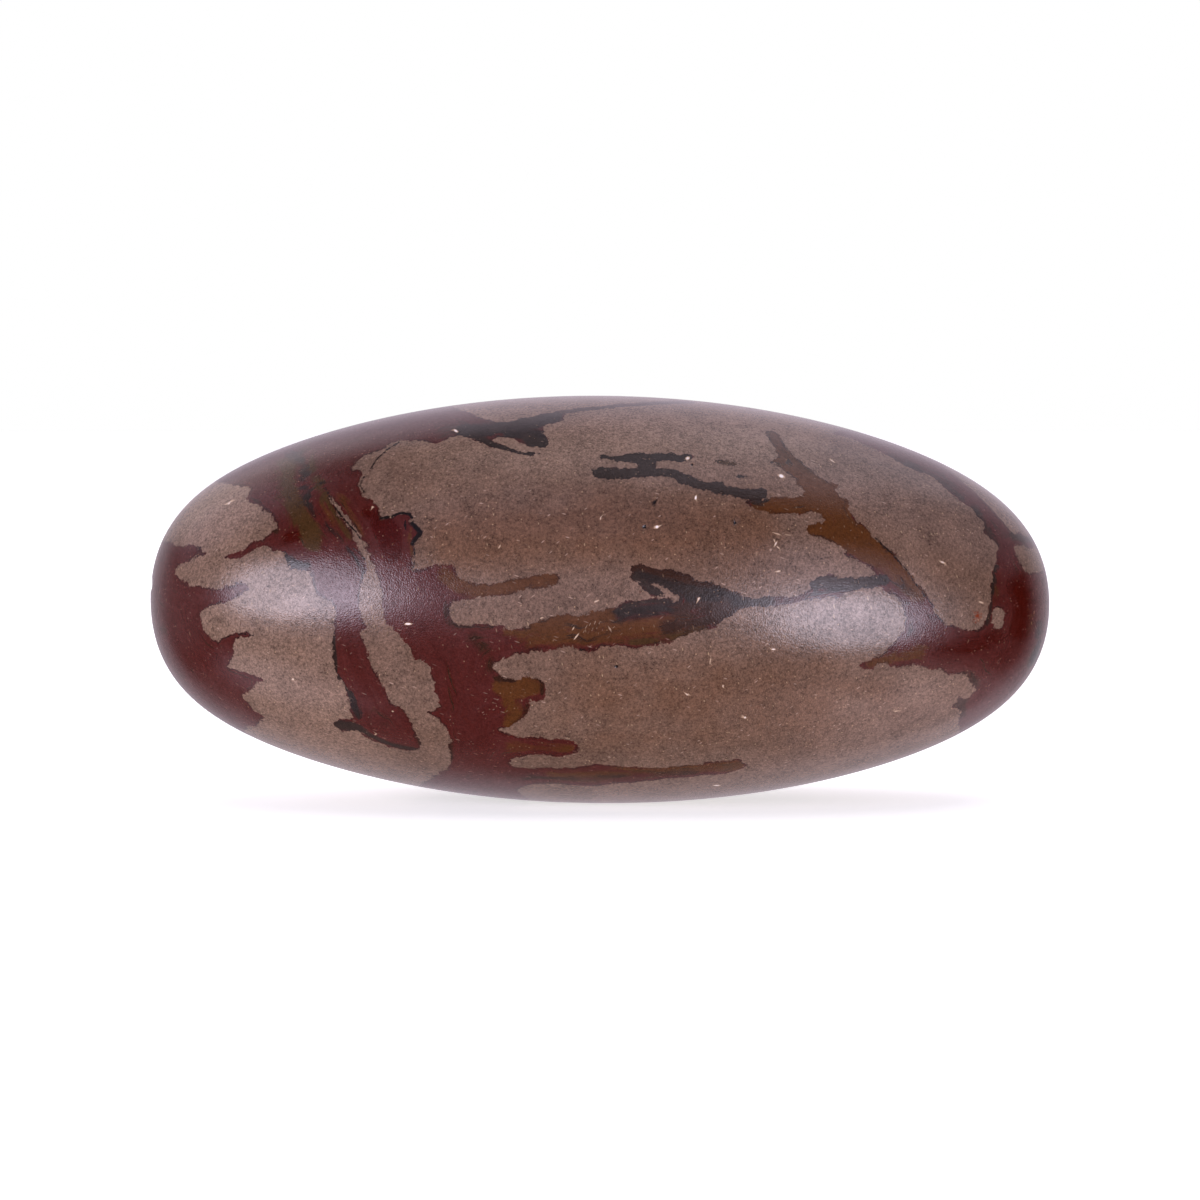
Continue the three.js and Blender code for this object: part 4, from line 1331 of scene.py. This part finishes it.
    def _flecked(self, add: Adder, under: Socket) -> Socket:
        """Lays the drawn scratches, chips and pits over a colour.

        Args:
            add: The bench's function.
            under: The colour so far.

        Returns:
            The colour with its marks.
        """
        fleck = add("Attribute", attribute_name="fleck", out="Fac")
        for colour, (starts, full) in (
            (self.hairline, self.hairline_at),
            (self.chip, self.chip_at),
            (self.ink, self.pit_at),
        ):
            under = add("MixRGB", add("MapRange", fleck, starts, full), under, linear(colour))
        return under

    def _relief(self, add: Adder, place: Socket) -> Socket:
        """Shallow waves from the grinding, under the frost that blurs the mirrored lights.

        Args:
            add: The bench's function.
            place: Object coordinates in mm.

        Returns:
            The normal.
        """
        waves = add("TexNoise", place, Scale=1 / self.wave_size, Detail=4.0, Roughness=0.62)
        wavy = add("Bump", Strength=self.wave_strength, Distance=self.wave_depth * MM, Height=waves)
        frost = add("TexNoise", place, Scale=1 / self.frost_size, Detail=0.0)
        return add("Bump", Strength=1.0, Distance=self.frost_depth * MM, Height=frost, Normal=wavy)


@dataclass(frozen=True)
class LightTable:
    """Opal acrylic sheet, sand-blasted matt and lit from below, so that only a faint shadow stays on it."""

    white: str = "f4f4f6"
    glow: float = 0.62
    roughness: float = 0.9

    def make(self) -> bpy.types.Material:
        """Builds the material.

        Returns:
            The glowing sheet.
        """
        material = bpy.data.materials.new("opal acrylic")
        material.use_nodes = True
        add = NodeBench(material.node_tree).add
        shader = add(
            "BsdfPrincipled", Base_Color=linear(self.white), Roughness=self.roughness,
            Emission_Color=(1, 1, 1, 1), Emission_Strength=self.glow,
        )
        add("OutputMaterial", shader)
        return material


# --- The studio ---------------------------------------------------------------------------------------------


@dataclass(frozen=True)
class SoftBox:
    """A round soft light that faces the stone."""

    name: str
    azimuth: float  # degrees from the camera's side, towards +x
    rise: float  # degrees above the table
    distance: float  # metres
    width: float
    height: float
    power: float
    colour: tuple[float, float, float] = (1.0, 1.0, 1.0)
    shines: bool = True  # whether the polish mirrors it


@dataclass(frozen=True)
class Glow:
    """A soft round area of light on the surround."""

    name: str
    azimuth: float  # degrees from the camera's side, towards +x
    rise: float  # degrees above the table
    core: float  # degrees from its middle to where it starts to fade
    reach: float  # degrees from its middle to where it ends
    strength: float
    colour: tuple[float, float, float] = (0.92, 0.8, 0.97)


@dataclass
class Studio:
    """The pale floor, the white surround, the soft lights and the camera."""

    aim: tuple[float, float, float] = (0.0, 0.0, 17.03 * MM)
    camera_rise: float = 3.0  # degrees
    lens: float = 120.0  # mm
    sensor: float = 36.0  # mm
    clip: tuple[float, float] = (0.01, 20.0)  # metres that the camera sees from and to
    seen_width: float = 101.75 * MM  # what the frame spans at the stone
    floor_size: float = 6.0
    lights: tuple[SoftBox, ...] = (
        SoftBox("left octabox", -45, 8.5, 0.42, 0.28, 0.27, 0.88, (0.86, 0.83, 1.0)),
        SoftBox("right octabox", 36, -7.5, 0.42, 0.22, 0.25, 0.68, (0.84, 0.82, 1.0)),
        SoftBox("fill from above", 0, 90, 1.0, 1.2, 1.2, 4.68, (0.97, 0.96, 0.94), shines=False),
    )
    glows: tuple[Glow, ...] = (
        Glow("white wall behind", 180, 2, 42, 74, 0.62, (0.98, 0.88, 0.99)),
        Glow("white wall behind, higher up", 172, 36, 8, 44, 0.3, (0.98, 0.78, 1.0)),
        Glow("ceiling", 95, 83, 12, 27, 0.42, (0.78, 0.79, 0.93)),
        Glow("ceiling lamp on the right", 72, 72, 3, 20, 0.42),
        Glow("ceiling behind on the right", 135, 60, 4, 22, 0.62, (0.8, 0.84, 1.0)),
        Glow("wall on the right", 98, 44, 12, 34, 0.42),
        Glow("spill over the right octabox", 33, 23, 3, 18, 1.2),
        Glow("wall on the left", -106, 41, 8, 27, 0.85),
        Glow("table in front on the right", 58, -52, 5, 24, 0.9, (1.0, 0.76, 0.8)),
        Glow("table on the right", 92, -56, 5, 24, 0.8, (1.0, 0.72, 0.76)),
        Glow("table behind on the right", 130, -50, 5, 28, 0.5, (1.0, 0.8, 0.9)),
        Glow("table on the left", -73, -48, 4, 20, 0.9),
        Glow("table behind on the left", -120, -54, 5, 26, 0.28, (1.0, 0.74, 0.8)),
        Glow("ceiling behind on the left", -138, 40, 5, 24, 0.45, (1.0, 0.84, 0.8)),
        Glow("left octabox's rim", -33, 1, 5, 14, 1.8, (0.9, 0.8, 1.0)),
        Glow("right octabox's rim", 28, 1, 5, 18, 1.7, (0.88, 0.82, 1.0)),
        Glow("second window pane on the left", -26.5, 2, 1.5, 6, 1.5, (0.94, 0.9, 1.0)),
        Glow("cool window above the camera", -10, 50, 8, 24, 0.28, (0.35, 0.55, 1.0)),
        Glow("table behind", 178, -68, 6, 26, 0.15, (1.0, 0.75, 0.75)),
        Glow("haze round the left octabox", -45, 7, 14, 33, 1.0, (0.88, 0.8, 1.0)),
        Glow("haze round the right octabox", 36, -4, 12, 32, 1.0, (0.86, 0.82, 1.0)),
        Glow("camera", -7, 1, 4, 24, 0.5),
        Glow("wall on the far left", -95, -2, 12, 34, 0.3, (1.0, 0.8, 0.9)),
    )

    def build(self) -> None:
        """Makes everything round the stone."""
        self._floor()
        self._surround()
        for box in self.lights:
            self._light(box)
        self._camera()

    def _floor(self) -> None:
        """Lays a wide flat floor that the polish doesn't mirror."""
        sheet = bmesh.new()
        bmesh.ops.create_grid(sheet, x_segments=1, y_segments=1, size=self.floor_size / 2)
        mesh = bpy.data.meshes.new("floor")
        sheet.to_mesh(mesh)
        sheet.free()
        mesh.materials.append(LightTable().make())
        floor = bpy.data.objects.new("floor", mesh)
        bpy.context.scene.collection.objects.link(floor)
        floor.visible_glossy = False
        floor.visible_shadow = False
        log.info("floor: %.1f m of opal acrylic", self.floor_size)

    def _surround(self) -> None:
        """Makes a dim room with paler areas, which the polish mirrors. To the camera it is pure white."""
        world = bpy.data.worlds.new("studio")
        bpy.context.scene.world = world
        world.use_nodes = True
        add = NodeBench(world.node_tree).add
        way = add("TexCoord", out="Generated")
        total = (0.0, 0.0, 0.0)
        for glow in self.glows:
            middle = self._way(glow.azimuth, glow.rise)
            nearness = add("VectorMath", way, middle, operation="DOT_PRODUCT", out="Value")
            span = [math.cos(math.radians(angle)) for angle in (glow.reach, glow.core)]
            share = add("MapRange", nearness, *span, 0.0, glow.strength, interpolation_type="SMOOTHSTEP")
            total = add("VectorMath", share, glow.colour, total, operation="MULTIPLY_ADD")
            log.info("%s: %.0f degrees across", glow.name, 2 * glow.reach)
        room = add("Background", total, 1.0)
        plain = add("Background", (1, 1, 1, 1), 1.0)
        add("OutputWorld", add("MixShader", add("LightPath", out="Is Camera Ray"), room, plain))

    @staticmethod
    def _way(azimuth: float, rise: float) -> Vector:
        """The unit vector towards a place on the surround, from angles in degrees."""
        side, up = math.radians(azimuth), math.radians(rise)
        return Vector((math.sin(side) * math.cos(up), -math.cos(side) * math.cos(up), math.sin(up)))

    def _hang(self, obj: bpy.types.Object, azimuth: float, rise: float, distance: float) -> None:
        """Hangs a light or the camera round the stone, facing it.

        Args:
            obj: The light or camera.
            azimuth: Degrees from the camera's side, towards +x.
            rise: Degrees above the table.
            distance: How far off, in metres.
        """
        way = self._way(azimuth, rise)
        obj.location = Vector(self.aim) + way * distance
        obj.rotation_euler = way.to_track_quat("Z", "Y").to_euler()
        bpy.context.scene.collection.objects.link(obj)

    def _light(self, box: SoftBox) -> None:
        """Makes one soft light.

        Args:
            box: The light.
        """
        light = bpy.data.lights.new(box.name, "AREA")
        light.shape = "ELLIPSE"
        light.size, light.size_y = box.width, box.height
        light.energy = box.power
        light.color = box.colour
        lamp = bpy.data.objects.new(box.name, light)
        lamp.visible_camera = False
        lamp.visible_glossy = box.shines
        self._hang(lamp, box.azimuth, box.rise, box.distance)
        log.info("%s: %.2f x %.2f m", box.name, box.width, box.height)

    def _camera(self) -> None:
        """Sets the camera in front of the stone, a little above it."""
        data = bpy.data.cameras.new("camera")
        data.lens, data.sensor_width = self.lens, self.sensor
        data.clip_start, data.clip_end = self.clip
        camera = bpy.data.objects.new("camera", data)
        self._hang(camera, 0, self.camera_rise, self.lens / self.sensor * self.seen_width)
        bpy.context.scene.camera = camera


def main() -> None:
    """Builds the stone and the studio."""
    logging.basicConfig(level=logging.INFO)
    piece = Stone().build(PolishedJasper().make())
    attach(piece, "root")
    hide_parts("stone")
    log.info("stone: %d triangles", len(piece.data.polygons))
    Studio().build()
    bpy.context.scene.view_settings.view_transform = "Standard"


if __name__ == "__main__":
    main()
